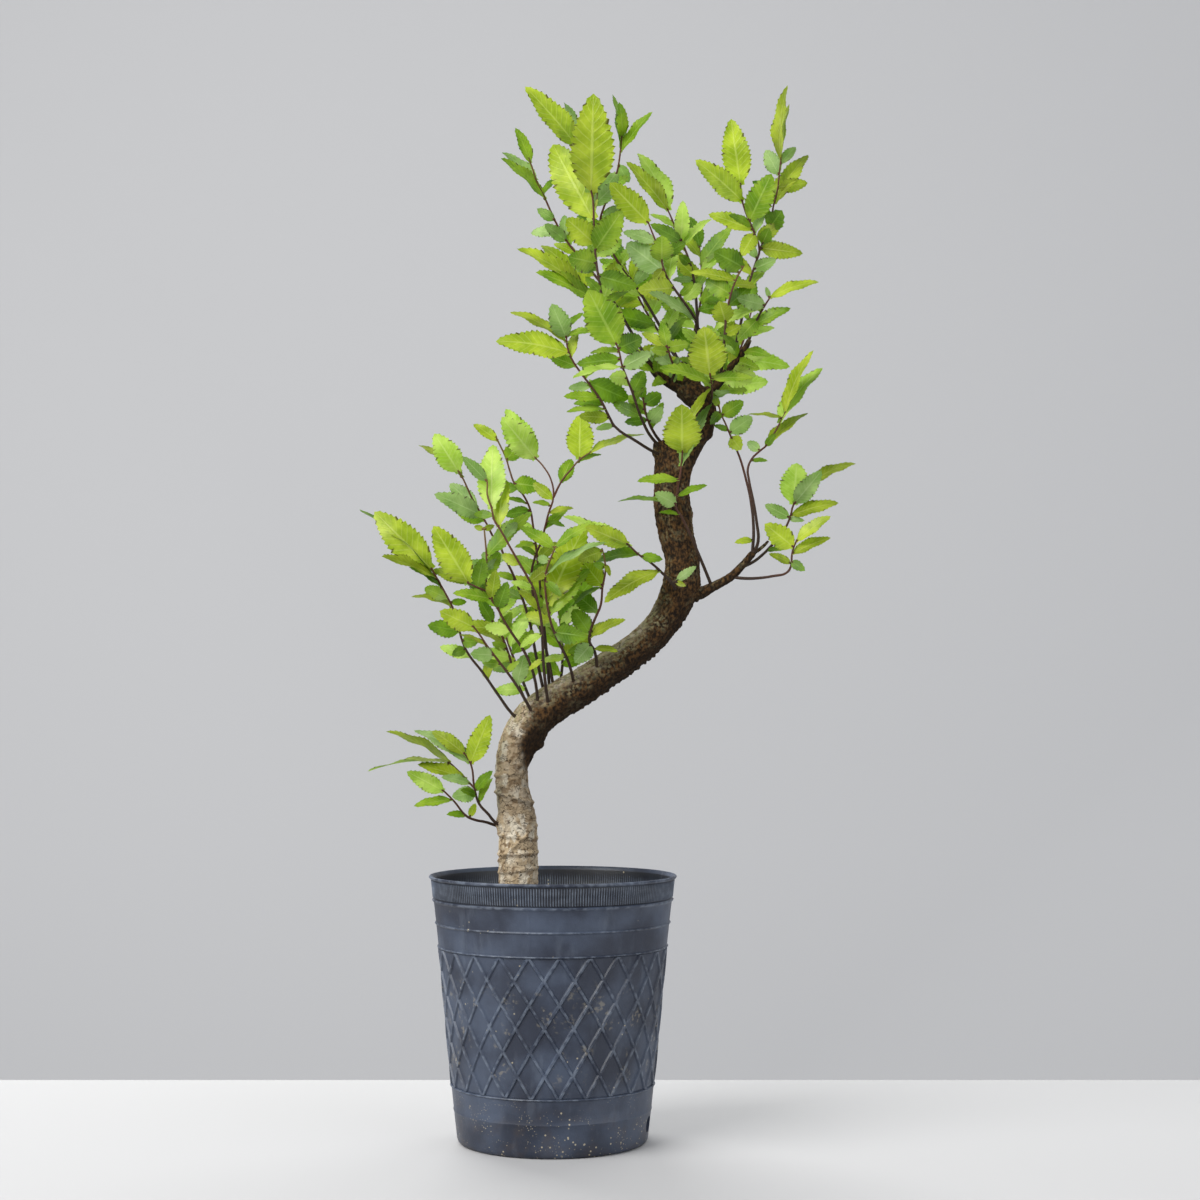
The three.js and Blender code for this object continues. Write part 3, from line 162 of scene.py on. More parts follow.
def choose(piece: bpy.types.Object, test: Callable[[bmesh.types.BMVert], bool]) -> None:
    """Selects, in edit mode, just the vertices that pass a test.

    Args:
        piece: the mesh that is open.
        test: says of a vertex whether it is one of them.
    """
    mesh = bmesh.from_edit_mesh(piece.data)
    for vertex in mesh.verts:
        vertex.select = test(vertex)
    mesh.select_flush_mode()
    bmesh.update_edit_mesh(piece.data)


def copied(piece: bpy.types.Object, name: str) -> bpy.types.Object:
    """Copies a piece, with a mesh of its own.

    Args:
        piece: the piece to copy.
        name: what the copy is called.

    Returns:
        The copy.
    """
    copy = piece.copy()
    copy.data = piece.data.copy()
    copy.name = copy.data.name = name
    bpy.context.collection.objects.link(copy)
    return copy


def joined(pieces: Sequence[bpy.types.Object], name: str) -> bpy.types.Object:
    """Joins pieces into one, which is the first of them.

    Args:
        pieces: what is joined.
        name: what the whole is called.

    Returns:
        The whole.
    """
    alone(pieces[0])
    for piece in pieces[1:]:
        piece.select_set(True)
    bpy.ops.object.join()
    pieces[0].name = pieces[0].data.name = name
    return pieces[0]


def turned(name: str, steps: Sequence[Row], sides: int, phase: float = 0.0) -> bpy.types.Object:
    """Models a wall by carrying a ring of edges through steps.

    Args:
        name: what the piece is called.
        steps: the ring's radius and height at each step, in mm.
        sides: how many edges the ring has.
        phase: how far the ring is turned about the axis.

    Returns:
        The wall, open at both ends.
    """
    radius, z = steps[0]
    bpy.ops.mesh.primitive_circle_add(
        vertices=sides, radius=radius * MM, location=(0, 0, z * MM), rotation=(0, 0, phase)
    )
    wall = settled(name)
    with editing(wall):
        bpy.ops.mesh.select_all(action="SELECT")
        for (radius, z), (wider, higher) in zip(steps, steps[1:]):
            bpy.ops.mesh.extrude_region_move(TRANSFORM_OT_translate={"value": (0, 0, (higher - z) * MM)})
            bpy.ops.transform.resize(value=(wider / radius, wider / radius, 1), center_override=(0, 0, 0))
    return wall


def seated(piece: bpy.types.Object, node: str) -> bpy.types.Object:
    """Sets a piece in place of its CAD node, in the one body.

    Args:
        piece: the finished piece.
        node: the CAD node.

    Returns:
        The same piece.
    """
    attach(piece, BODY)
    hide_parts(node)
    return piece


def applied(piece: bpy.types.Object, kind: str, **settings: Any) -> None:
    """Adds a modifier to a piece, and applies it.

    Args:
        piece: the mesh to change.
        kind: the modifier's type.
        settings: the modifier's own settings.
    """
    modifier = piece.modifiers.new(kind.title(), kind)
    for setting, value in settings.items():
        setattr(modifier, setting, value)
    alone(piece)
    bpy.ops.object.modifier_apply(modifier=modifier.name)


def mended(piece: bpy.types.Object) -> bpy.types.Object:
    """Merges doubled vertices and turns the faces outwards.

    Args:
        piece: the mesh to mend.

    Returns:
        The same piece.
    """
    with editing(piece):
        bpy.ops.mesh.select_all(action="SELECT")
        bpy.ops.mesh.remove_doubles(threshold=SAME_SPOT)
        bpy.ops.mesh.normals_make_consistent(inside=False)
    return piece


def smoothed(piece: bpy.types.Object, crease: float) -> None:
    """Mends a piece, and smooths it but for edges sharper than this angle in degrees."""
    mended(piece)
    bpy.ops.object.shade_smooth_by_angle(angle=math.radians(crease))


def dressed(piece: bpy.types.Object, material: bpy.types.Material) -> None:
    """Makes this the one material of a piece."""
    piece.data.materials.clear()
    piece.data.materials.append(material)


def threes(piece: bpy.types.Object, what: str) -> np.ndarray:
    """Reads the three numbers that each vertex of a piece keeps under a name.

    Args:
        piece: the mesh to read.
        what: the name, such as co or normal.

    Returns:
        The numbers, one row each.
    """
    flat = np.empty(len(piece.data.vertices) * 3, np.float32)
    piece.data.vertices.foreach_get(what, flat)
    return flat.reshape(-1, 3).astype(float)


def places(piece: bpy.types.Object) -> np.ndarray:
    """The places of a piece's vertices, in mm, one row each."""
    return threes(piece, "co") / MM


def place_all(piece: bpy.types.Object, rows: np.ndarray) -> None:
    """Moves a piece's vertices to these places, in mm."""
    piece.data.vertices.foreach_set("co", (rows * MM).astype(np.float32).ravel())
    piece.data.update()


def mark(piece: bpy.types.Object, name: str, values: np.ndarray) -> None:
    """Keeps a number for each vertex of a piece, for its material to read."""
    layer = piece.data.attributes.new(name, "FLOAT", "POINT")
    layer.data.foreach_set("value", values.astype(np.float32))


def tube(
    name: str, points: Sequence[Vector], radii: Sequence[float], sides: int, steps: int
) -> bpy.types.Object:
    """Models a closed round bar along a smooth line.

    Args:
        name: what the piece is called.
        points: the points that the line goes through, in mm.
        radii: the bar's radius at each of them, in mm.
        sides: how many sides its section has.
        steps: how many rings there are from one point to the next.

    Returns:
        The bar as a mesh.
    """
    bpy.ops.curve.primitive_bezier_curve_add()
    curve = bpy.context.object
    curve.data.dimensions = "3D"
    curve.data.fill_mode = "FULL"
    curve.data.resolution_u = steps
    curve.data.bevel_depth = MM
    curve.data.bevel_resolution = sides // 2 - 2
    curve.data.use_fill_caps = True
    knots = curve.data.splines[0].bezier_points
    knots.add(len(points) - len(knots))
    for knot, point, radius in zip(knots, points, radii):
        knot.co = point * MM
        knot.radius = radius
    for knot in knots:
        knot.handle_left_type = knot.handle_right_type = "AUTO"
    alone(curve)
    bpy.ops.object.convert(target="MESH")
    return mended(settled(name))


class Shader:
    """The nodes of one material, with short calls that add them and join them."""

    def __init__(self, name: str) -> None:
        """Starts an empty material.

        Args:
            name: what the material is called.
        """
        self.material = bpy.data.materials.new(name)
        self.material.use_nodes = True
        self.tree = self.material.node_tree
        self.tree.nodes.clear()

    def node(self, kind: str, inputs: dict[Any, Any] | None = None, **settings: Any) -> bpy.types.Node:
        """Adds a node.

        Args:
            kind: its type, without the word ShaderNode.
            inputs: a value or another node's socket for each input that is set.
            settings: the node's own properties.

        Returns:
            The node.
        """
        made = self.tree.nodes.new("ShaderNode" + kind)
        for setting, value in settings.items():
            setattr(made, setting, value)
        for socket, value in (inputs or {}).items():
            if isinstance(value, bpy.types.NodeSocket):
                self.tree.links.new(value, made.inputs[socket])
            elif isinstance(value, tuple) and len(value) == 3 and made.inputs[socket].type == "RGBA":
                made.inputs[socket].default_value = (*value, 1)
            else:
                made.inputs[socket].default_value = value
        return made

    def math(self, operation: str, first: Any, second: Any = 0.0, third: Any = 0.0) -> bpy.types.NodeSocket:
        """Works out one number from up to three."""
        return self.node("Math", {0: first, 1: second, 2: third}, operation=operation).outputs[0]

    def times(self, *factors: Any) -> bpy.types.NodeSocket:
        """Multiplies numbers with one another, from the first on."""
        return reduce(lambda product, factor: self.math("MULTIPLY", product, factor), factors)

    def band(self, value: Any, low: float, high: float) -> bpy.types.NodeSocket:
        """Rises smoothly from 0 at low to 1 at high, or falls where low is the greater."""
        inputs = {"Value": value, "From Min": low, "From Max": high}
        return self.node("MapRange", inputs, interpolation_type="SMOOTHSTEP").outputs[0]

    def place(self, stretch: Row = (1, 1, 1)) -> bpy.types.NodeSocket:
        """The point on the piece, with each axis stretched by a factor."""
        point = self.node("TexCoord").outputs["Object"]
        return self.node("Mapping", {"Vector": point, "Scale": stretch}).outputs[0]

    def noise(self, size: float, detail: float = 3.0, stretch: Row = (1, 1, 1)) -> bpy.types.NodeSocket:
        """Cloudy noise from 0 to 1, whose blots are this many mm across."""
        inputs = {"Vector": self.place(stretch), "Scale": 1 / (size * MM), "Detail": detail}
        return self.node("TexNoise", inputs).outputs[0]

    def cells(self, size: float) -> bpy.types.NodeSocket:
        """The distance from the middle of the nearest cell, in a pattern of cells this many mm across."""
        inputs = {"Vector": self.place(), "Scale": 1 / (size * MM)}
        return self.node("TexVoronoi", inputs).outputs["Distance"]

    def mix(self, share: Any, first: Any, second: Any) -> bpy.types.NodeSocket:
        """Mixes two colours, by the share of the second."""
        return self.node("Mix", {0: share, 6: first, 7: second}, data_type="RGBA").outputs[2]

    def attribute(self, name: str) -> bpy.types.NodeSocket:
        """A number that the mesh keeps for each vertex."""
        return self.node("Attribute", attribute_name=name).outputs["Fac"]

    def bump(self, height: Any, rise: float) -> bpy.types.NodeSocket:
        """Turns a height from 0 to 1 into relief that rises this many mm."""
        return self.node("Bump", {"Height": height, "Distance": rise * MM, "Strength": 1.0}).outputs[0]

    def skin(self, colour: Any, roughness: Any, relief: Any = None, gloss: float = 0.5) -> bpy.types.Material:
        """Makes the whole surface one coat.

        Args:
            colour: the colour of the coat.
            roughness: how dull it is, from 0 to 1.
            relief: its bumps, where it has some.
            gloss: how strongly it mirrors, where 0.5 is usual.

        Returns:
            The material.
        """
        inputs = {"Base Color": colour, "Roughness": roughness, "Specular IOR Level": gloss}
        if relief:
            inputs["Normal"] = relief
        return self.finish(self.node("BsdfPrincipled", inputs).outputs[0])

    def finish(self, surface: bpy.types.NodeSocket) -> bpy.types.Material:
        """Joins the surface to the output and returns the material."""
        self.node("OutputMaterial", {"Surface": surface})
        return self.material


class Tint(Enum):
    """How a leaf looks where it hangs, by the letter that the table of shoots gives it. Some are lit and
    shaded copies of one leaf finish: yellow is painted backlight through the leaf, dark is painted shade and
    pale is a painted sky sheen.
    """

    YELLOW = "Y"
    GREEN = "G"
    DARK = "D"
    PALE = "P"
    LIGHT = "L"
    OLIVE = "O"


@dataclass(frozen=True)
class LeafFinish:
    """The skin of a leaf: its greens, its veins and how much light comes through it."""

    name: str
    deep: Colour
    fresh: Colour
    vein: Colour
    edge: Colour = rgb(70, 56, 20)
    through: float = 0.46
    roughness: float = 0.36
    veins: float = 11.0
    sweep: float = 0.16

    def material(self) -> bpy.types.Material:
        """Builds the material: mottled green with pale veins that run from the midrib to the teeth.

        Returns:
            The material.
        """
        s = Shader(self.name)
        split = s.node("SeparateXYZ", {0: s.node("UVMap", uv_map="UVMap").outputs[0]})
        along = split.outputs[0]
        aside = s.math("ABSOLUTE", s.math("MULTIPLY_ADD", split.outputs[1], 2.0, -1.0))
        swept = s.times(s.math("MULTIPLY_ADD", aside, -self.sweep, along), self.veins)
        off_vein = s.math("ABSOLUTE", s.math("SUBTRACT", s.math("FRACT", swept), 0.5))
        side_vein = s.band(off_vein, 0.13, 0.02)
        midrib = s.band(aside, 0.1, 0.03)
        veins = s.math("MAXIMUM", midrib, s.times(side_vein, 0.55))
        mottled = s.math("MULTIPLY_ADD", s.noise(9), 0.9, s.times(s.noise(1.4, 4), 0.16))
        green = s.mix(s.band(mottled, 0.35, 0.75), self.deep, self.fresh)
        green = s.mix(s.times(s.band(s.attribute("tooth"), 0.72, 0.93), 0.85), green, self.edge)
        green = s.mix(s.times(veins, 0.38), green, self.vein)
        relief = s.bump(s.math("ADD", veins, s.times(s.noise(0.5), 0.3)), 0.12)
        skin = s.node(
            "BsdfPrincipled",
            {"Base Color": green, "Roughness": self.roughness, "Specular IOR Level": 0.4, "Normal": relief},
        )
        glow = s.node("BsdfTranslucent", {"Color": green})
        both = s.node("MixShader", {0: self.through, 1: skin.outputs[0], 2: glow.outputs[0]})
        return s.finish(both.outputs[0])


@dataclass(frozen=True)
class TwigFinish:
    """The bark of a thin shoot: dark and woody at its foot, red-brown further out, greenish at the tip."""

    old: Colour = rgb(46, 32, 22)
    young: Colour = rgb(84, 48, 34)
    tip: Colour = rgb(118, 96, 50)
    speck: Colour = rgb(128, 106, 82)

    def material(self) -> bpy.types.Material:
        """Builds the material, which reads how far out on its shoot a point is.

        Returns:
            The material.
        """
        s = Shader("twig_bark")
        age = s.attribute("outwards")
        speckle = s.noise(0.6, 4)
        wood = s.mix(s.band(age, 0.15, 0.7), self.old, self.young)
        wood = s.mix(s.band(age, 0.7, 1.0), wood, self.tip)
        wood = s.mix(s.times(s.band(speckle, 0.55, 0.7), 0.2), wood, self.speck)
        return s.skin(wood, 0.65, s.bump(speckle, 0.15), 0.3)


@dataclass(frozen=True)
class BarkFinish:
    """The bark of the trunk: grey-tan and flaking low down, brown above, with dark cracks, and painted shade
    under the leaning part, inside the bend and on the middle and right of the lower trunk.
    """

    pale: Colour = rgb(206, 196, 176)
    tan: Colour = rgb(174, 155, 126)
    brown: Colour = rgb(92, 65, 34)
    dark: Colour = rgb(26, 17, 8)
    lichen: Colour = rgb(150, 142, 108)

    def material(self) -> bpy.types.Material:
        """Builds the material, which reads the cracks, the flakes, the pale parts and the painted shade that
        the mesh keeps.

        Returns:
            The material.
        """
        s = Shader("trunk_bark")
        crack, pale = s.attribute("crack"), s.attribute("pale")
        flake, shade = s.attribute("flake"), s.attribute("shade")
        fine = s.noise(1.1, 6, (1, 1, 0.7))
        cloud = s.noise(7, 3)
        upper = s.mix(s.band(fine, 0.36, 0.66), self.dark, self.brown)
        patches = s.band(s.math("MULTIPLY_ADD", flake, 0.5, s.times(cloud, 0.7)), 0.35, 0.75)
        lower = s.mix(patches, self.pale, self.tan)
        stains = s.band(s.noise(3.2, 6, (1, 1, 1.5)), 0.49, 0.36)
        lower = s.mix(s.times(stains, 0.65), lower, self.brown)
        contour = s.math("ABSOLUTE", s.math("SUBTRACT", s.noise(4.5, 6, (1, 1, 1.7)), 0.5))
        lower = s.mix(s.times(s.band(contour, 0.018, 0.005), 0.85), lower, self.dark)
        spots = s.band(s.noise(1.0, 5), 0.64, 0.7)
        lower = s.mix(s.times(spots, 0.35), lower, self.brown)
        wood = s.mix(s.band(pale, 0.12, 0.88), upper, lower)
        crust = s.times(s.band(s.noise(1.5, 6), 0.46, 0.58), s.attribute("lichen"))
        wood = s.mix(crust, wood, self.lichen)
        deep = s.math("MULTIPLY_ADD", pale, -0.5, 0.85)
        wood = s.mix(s.times(crack, deep), wood, self.dark)
        # Painted shade: darker under the leaning part, inside the bend and on the middle and right side of
        # the lower trunk.
        wood = s.mix(s.times(shade, 0.75), wood, self.dark)
        return s.skin(wood, 0.85, s.bump(fine, 0.8), 0.2)


@dataclass(frozen=True)
class PotFinish:
    """Blue-grey moulded plastic, satin, scuffed pale on its ribs and dusty near its foot, with painted shade
    in the grooves of its fluted band and a painted highlight, partly rubbed wear, on the flutes' crests.

    The pairs are the heights in metres between which the flutes' painted shade and highlight, the scrapes and
    the dirt fade.
    """

    body: Colour = rgb(30, 37, 53)
    light: Colour = rgb(62, 72, 90)
    scuff: Colour = rgb(122, 132, 146)
    painted_groove_shade: Colour = rgb(12, 15, 21)
    dust: Colour = rgb(190, 178, 150)
    earth: Colour = rgb(66, 54, 44)
    flutes_start: tuple[float, float] = (0.1003, 0.101)
    flutes_end: tuple[float, float] = (0.1088, 0.1082)
    scrapes_start: tuple[float, float] = (0.026, 0.036)
    scrapes_end: tuple[float, float] = (0.074, 0.062)
    dirt: tuple[float, float] = (0.032, 0.004)

    def material(self) -> bpy.types.Material:
        """Builds the material, which reads how far each point stands out of the wall.

        Returns:
            The material.
        """
        s = Shader("pot_plastic")
        rise = s.attribute("rise")
        cloud = s.noise(22, 5)
        smear = s.noise(5, 5, (1, 1, 0.35))
        grey = s.mix(s.band(cloud, 0.35, 0.7), self.body, self.light)
        worn = s.times(s.band(rise, 0.3, 1.0), s.band(s.noise(3, 4), 0.4, 0.65))
        up = s.node("SeparateXYZ", {0: s.node("TexCoord").outputs["Object"]}).outputs[2]
        fluted = s.times(s.band(up, *self.flutes_start), s.band(up, *self.flutes_end))
        # Painted shade: the flutes' grooves are darker the deeper they lie.
        sunk = s.math("MULTIPLY_ADD", rise, -0.85, 0.9)
        grey = s.mix(s.times(fluted, sunk), grey, self.painted_groove_shade)
        grey = s.mix(s.times(worn, 0.38), grey, self.scuff)
        # Painted highlight, partly rubbed wear: the flutes' crests are paler.
        crests = s.times(fluted, s.band(rise, 0.5, 1.0))
        grey = s.mix(s.times(crests, 0.36), grey, self.scuff)
        latticed = s.times(s.band(up, *self.scrapes_start), s.band(up, *self.scrapes_end))
        scraped = s.times(s.band(s.noise(8, 2), 0.55, 0.66), s.band(s.noise(1.6, 6), 0.5, 0.64))
        grey = s.mix(s.times(scraped, latticed, 0.22), grey, self.dust)
        grey = s.mix(s.times(s.band(smear, 0.55, 0.75), 0.12), grey, self.scuff)
        low = s.band(up, *self.dirt)
        specks = s.band(s.cells(2.1), 0.22, 0.12)
        patch = s.band(s.math("MULTIPLY_ADD", low, 0.16, s.noise(12, 3)), 0.62, 0.68)
        grey = s.mix(s.times(specks, patch, 0.75), grey, self.dust)
        crumbs = s.band(s.cells(1.1), 0.26, 0.14)
        dusty = s.times(low, s.band(s.noise(9, 3), 0.5, 0.62))
        grey = s.mix(s.times(crumbs, dusty, 0.8), grey, self.dust)
        muddy = s.times(low, s.band(s.noise(6, 5), 0.4, 0.8))
        grey = s.mix(s.times(muddy, 0.4), grey, self.earth)
        gloss = s.node("MapRange", {"Value": smear, "To Min": 0.36, "To Max": 0.56}).outputs[0]
        return s.skin(grey, gloss, s.bump(s.noise(0.7, 3), 0.05))


@dataclass(frozen=True)
class SoilFinish:
    """Dry potting grit: brown grains, some pale, with dark damp between them."""

    dark: Colour = rgb(44, 32, 23)
    brown: Colour = rgb(98, 74, 52)
    pale: Colour = rgb(158, 138, 112)

    def material(self) -> bpy.types.Material:
        """Builds the material from one noise, whose high parts are the pale grains.

        Returns:
            The material.
        """
        s = Shader("potting_grit")
        grain = s.noise(2.4, 2)
        earth = s.mix(s.band(grain, 0.35, 0.6), self.dark, self.brown)
        earth = s.mix(s.times(s.band(grain, 0.62, 0.68), 0.8), earth, self.pale)
        return s.skin(earth, 0.95, s.bump(s.noise(0.5), 0.3), 0.3)


@dataclass(frozen=True)
class StudioFinish:
    """Plain pale paint for the table and the wall behind."""

    name: str
    colour: Colour
    roughness: float = 0.7

    def material(self) -> bpy.types.Material:
        """Builds the material: one plain coat."""
        return Shader(self.name).skin(self.colour, self.roughness)


# The yellow finish is painted backlight, the dark one painted shade and the pale one a painted sky sheen.
LEAF_FINISHES = {
    Tint.YELLOW: LeafFinish("leaf_backlit_yellow", rgb(150, 172, 28), rgb(200, 212, 66), rgb(222, 228, 134)),
    Tint.GREEN: LeafFinish("leaf_green", rgb(114, 154, 24), rgb(170, 194, 58), rgb(198, 216, 114)),
    Tint.DARK: LeafFinish("leaf_shaded_dark", rgb(84, 124, 12), rgb(138, 172, 38), rgb(164, 196, 90)),
    Tint.PALE: LeafFinish("leaf_sky_sheen_pale", rgb(134, 168, 84), rgb(178, 202, 132), rgb(204, 222, 166)),
    Tint.LIGHT: LeafFinish("leaf_light", rgb(168, 202, 62), rgb(214, 234, 124), rgb(228, 240, 164)),
    Tint.OLIVE: LeafFinish("leaf_olive", rgb(132, 150, 22), rgb(184, 198, 60), rgb(208, 212, 118)),
}
UNDERSIDE = LeafFinish(
    "leaf_underside", rgb(152, 186, 80), rgb(190, 216, 122), rgb(216, 230, 168), roughness=0.55
)


@dataclass
class Pot:
    """The nursery pot: one moulded wall with a fluted band, ridges and a raised diamond lattice.

    A step of the wall is a radius and a height. The lip's steps are counted out from the rim's radius, and
    those of the floor's corner from the foot's.
    """

    rim_radius: float = 51.8
    foot_radius: float = 39.9
    foot_corner: float = 3.4
    shoulder_z: float = 99.8
    shoulder_radius: float = 49.8
    belly: float = 0.9
    wall: float = 1.7
    floor: float = 2.0
    crease: float = 45.0
    ridge: float = 0.55
    faint_ridge: float = 0.22
    ridge_half: float = 0.6
    narrow_half: float = 0.5
    shoulder_ridge_z: float = 90.4
    upper_ridge_z: float = 80.7
    lower_ridge_z: float = 23.7
    faint_ridge_z: float = 13.7
    shoulder: tuple[Row, ...] = ((49.95, 99.3), (50.4, 99.7), (50.45, 100.1), (50.1, 100.5), (49.75, 100.8))
    outer_band: tuple[Row, ...] = ((49.85, 101.3), (50.2, 104.8), (50.55, 108.0), (50.75, 108.5))
    lip: tuple[Row, ...] = (
        (-0.3, 108.8), (0.0, 109.2), (0.0, 109.6), (-0.25, 109.9), (-0.7, 110.0), (-1.2, 109.85),
        (-1.45, 109.4), (-1.9, 108.9),
    )
    inner_band: tuple[Row, ...] = ((49.65, 108.2), (49.25, 104.8), (48.8, 101.3), (48.6, 100.6), (48.1, 98.2))
    upper_heights: Row = (82.0, 86.0)
    shoulder_heights: Row = (95.0, 98.9)
    lower_heights: Row = (22.2, 18.0)
    foot_heights: Row = (9.0, 5.0)
    inside_heights: Row = (90.0, 70.0, 50.0, 30.0, 12.0, 4.4)
    floor_corner: tuple[Row, ...] = ((-4.2, 2.4), (-5.1, 2.0))
    floor_rings: Row = (31.0, 18.0, 6.0)
    outer_corner: tuple[Row, ...] = ((39.9, 3.4), (39.75, 2.0), (39.3, 0.9), (38.6, 0.25), (37.8, 0.0))
    underside_rings: Row = (34.0, 20.0, 6.0)
    pole: float = 7.0
    flutes: int = 288
    fluted: tuple[float, float] = (101.0, 108.15)
    fluted_from: float = 48.6
    flute_depth: float = 0.42
    diamonds: int = 24
    lattice_rows: int = 6
    lattice_top: float = 80.6
    lattice_middle: float = 50.0
    lattice_cuts: tuple[float, float] = (24.3, 80.1)
    lattice_edge: float = 0.1
    rib_rise: float = 0.38
    panel_sink: float = 0.3
    rib_half: float = 0.42
    rib_slope: float = 0.5
    phase: float = math.radians(4.5)
    drain_holes: int = 5
    drain_ring: float = 25.0
    drain_radius: float = 4.0
    side_drain_radius: float = 3.5
    side_drain_z: float = 8.2
    side_drain_at: float = math.radians(78)
    hole_sides: int = 32
    cutter_length: float = 10.0
    seams_at: tuple[float, ...] = (math.radians(-44), math.radians(-10), math.radians(146))
    seam_heights: tuple[float, float] = (81.2, 99.5)
    seam_swell: float = 1.0035
    full_rise: float = 0.4

    def radius(self, z: float) -> float:
        """Finds the wall's outside radius, without ribs and ridges.

        Args:
            z: the height.

        Returns:
            The radius there.
        """
        share = (z - self.foot_corner) / (self.shoulder_z - self.foot_corner)
        spread = (self.shoulder_radius - self.foot_radius) * share
        return self.foot_radius + spread + self.belly * math.sin(math.pi * share) * (0.5 - share)

    def _plain_steps(self, *heights: float) -> list[Row]:
        """The steps over a plain part of the wall, at these heights."""
        return [(self.radius(z), z) for z in heights]

    def _ridge_steps(self, z: float, rise: float, half: float) -> list[Row]:
        """The steps over a ridge that runs round the wall; going down, half its breadth is negative."""
        shape = ((-1.0, 0.0), (-0.5, 0.7), (0.0, 1.0), (0.5, 0.7), (1.0, 0.0))
        return [(self.radius(z + half * k) + rise * up, z + half * k) for k, up in shape]

    def _on_crest(self, x: float, y: float, z: float) -> bool:
        """Tells whether a point of the wall is on the crest of a flute, outside or inside.

        Args:
            x: the point's place on X.
            y: its place on Y.
            z: its height.

        Returns:
            Whether it is on a crest.
        """
        low, high = self.fluted
        odd = round((math.atan2(x, -y) + self.phase) * self.flutes / math.pi) % 2 == 1
        return odd and low < z < high and math.hypot(x, y) > self.fluted_from

    def _close_pole(self, wall: bpy.types.Object) -> None:
        """Draws the innermost ring of a wall that is open for editing together to one point."""
        choose(wall, lambda v: v.co.xy.length < self.pole * MM)
        bpy.ops.mesh.merge(type="CENTER")

    def _upper_wall(self) -> bpy.types.Object:
        """Models the bands over the lattice, the fluted rim, the lip, the inside and the floor.

        Returns:
            The wall, open where the lattice goes.
        """
        edge = self.lattice_cuts[1]
        steps = [(self.radius(edge) + self.lattice_edge, edge)]
        steps += self._ridge_steps(self.upper_ridge_z, self.ridge, self.narrow_half)
        steps += self._plain_steps(*self.upper_heights)
        steps += self._ridge_steps(self.shoulder_ridge_z, self.ridge, self.ridge_half)
        steps += [*self._plain_steps(*self.shoulder_heights), *self.shoulder, *self.outer_band]
        steps += [(self.rim_radius + out, z) for out, z in self.lip]
        steps += [*self.inner_band, *((self.radius(z) - self.wall, z) for z in self.inside_heights)]
        steps += [(self.foot_radius + out, z) for out, z in self.floor_corner]
        steps += [(ring, self.floor) for ring in self.floor_rings]
        wall = turned("upper_wall", steps, 2 * self.flutes, self.phase)
        with editing(wall):
            choose(wall, lambda v: self._on_crest(*v.co / MM))
            out = 1 + self.flute_depth / self.shoulder_radius
            bpy.ops.transform.resize(value=(out, out, 1), center_override=(0, 0, 0))
            self._close_pole(wall)
            bpy.ops.mesh.select_all(action="SELECT")
            bpy.ops.mesh.flip_normals()
        return wall

    def _foot(self) -> bpy.types.Object:
        """Models the band under the lattice, down to the rounded corner and across the underside.

        Returns:
            The foot, open where the lattice goes.
        """
        edge = self.lattice_cuts[0]
        steps = [(self.radius(edge) + self.lattice_edge, edge)]
        steps += self._ridge_steps(self.lower_ridge_z, self.ridge, -self.narrow_half)
        steps += self._plain_steps(*self.lower_heights)
        steps += self._ridge_steps(self.faint_ridge_z, self.faint_ridge, -self.ridge_half)
        steps += [*self._plain_steps(*self.foot_heights), *self.outer_corner]
        steps += [(ring, 0.0) for ring in self.underside_rings]
        foot = turned("foot", steps, 2 * self.flutes, self.phase)
        with editing(foot):
            self._close_pole(foot)
        return foot

    def _tile(self, across: float, level: float) -> bpy.types.Object:
        """Models two diamonds of the flat lattice, each a raised rib round a sunk panel.

        Args:
            across: how wide a diamond is.
            level: half its height.

        Returns:
            The two, the second half a diamond further along and up.
        """
        bpy.ops.mesh.primitive_grid_add(x_subdivisions=4, y_subdivisions=4, size=math.sqrt(2) / 2)
        tile = settled("tile")
        with editing(tile):
            bpy.ops.mesh.select_all(action="SELECT")
            bpy.ops.transform.rotate(value=math.radians(45), orient_axis="Z", center_override=(0, 0, 0))
            bpy.ops.transform.resize(value=(across * MM, 2 * level * MM, 1), center_override=(0, 0, 0))
            bpy.ops.transform.translate(value=(0, 0, self.rib_rise * MM))
            bpy.ops.mesh.inset(thickness=self.rib_half * MM, depth=0)
            bpy.ops.mesh.inset(thickness=self.rib_slope * MM, depth=-(self.rib_rise + self.panel_sink) * MM)
        twin = copied(tile, "tile_between")
        twin.location = (across / 2 * MM, level * MM, 0)
        twin.select_set(True)
        return joined([tile, twin], "lattice")

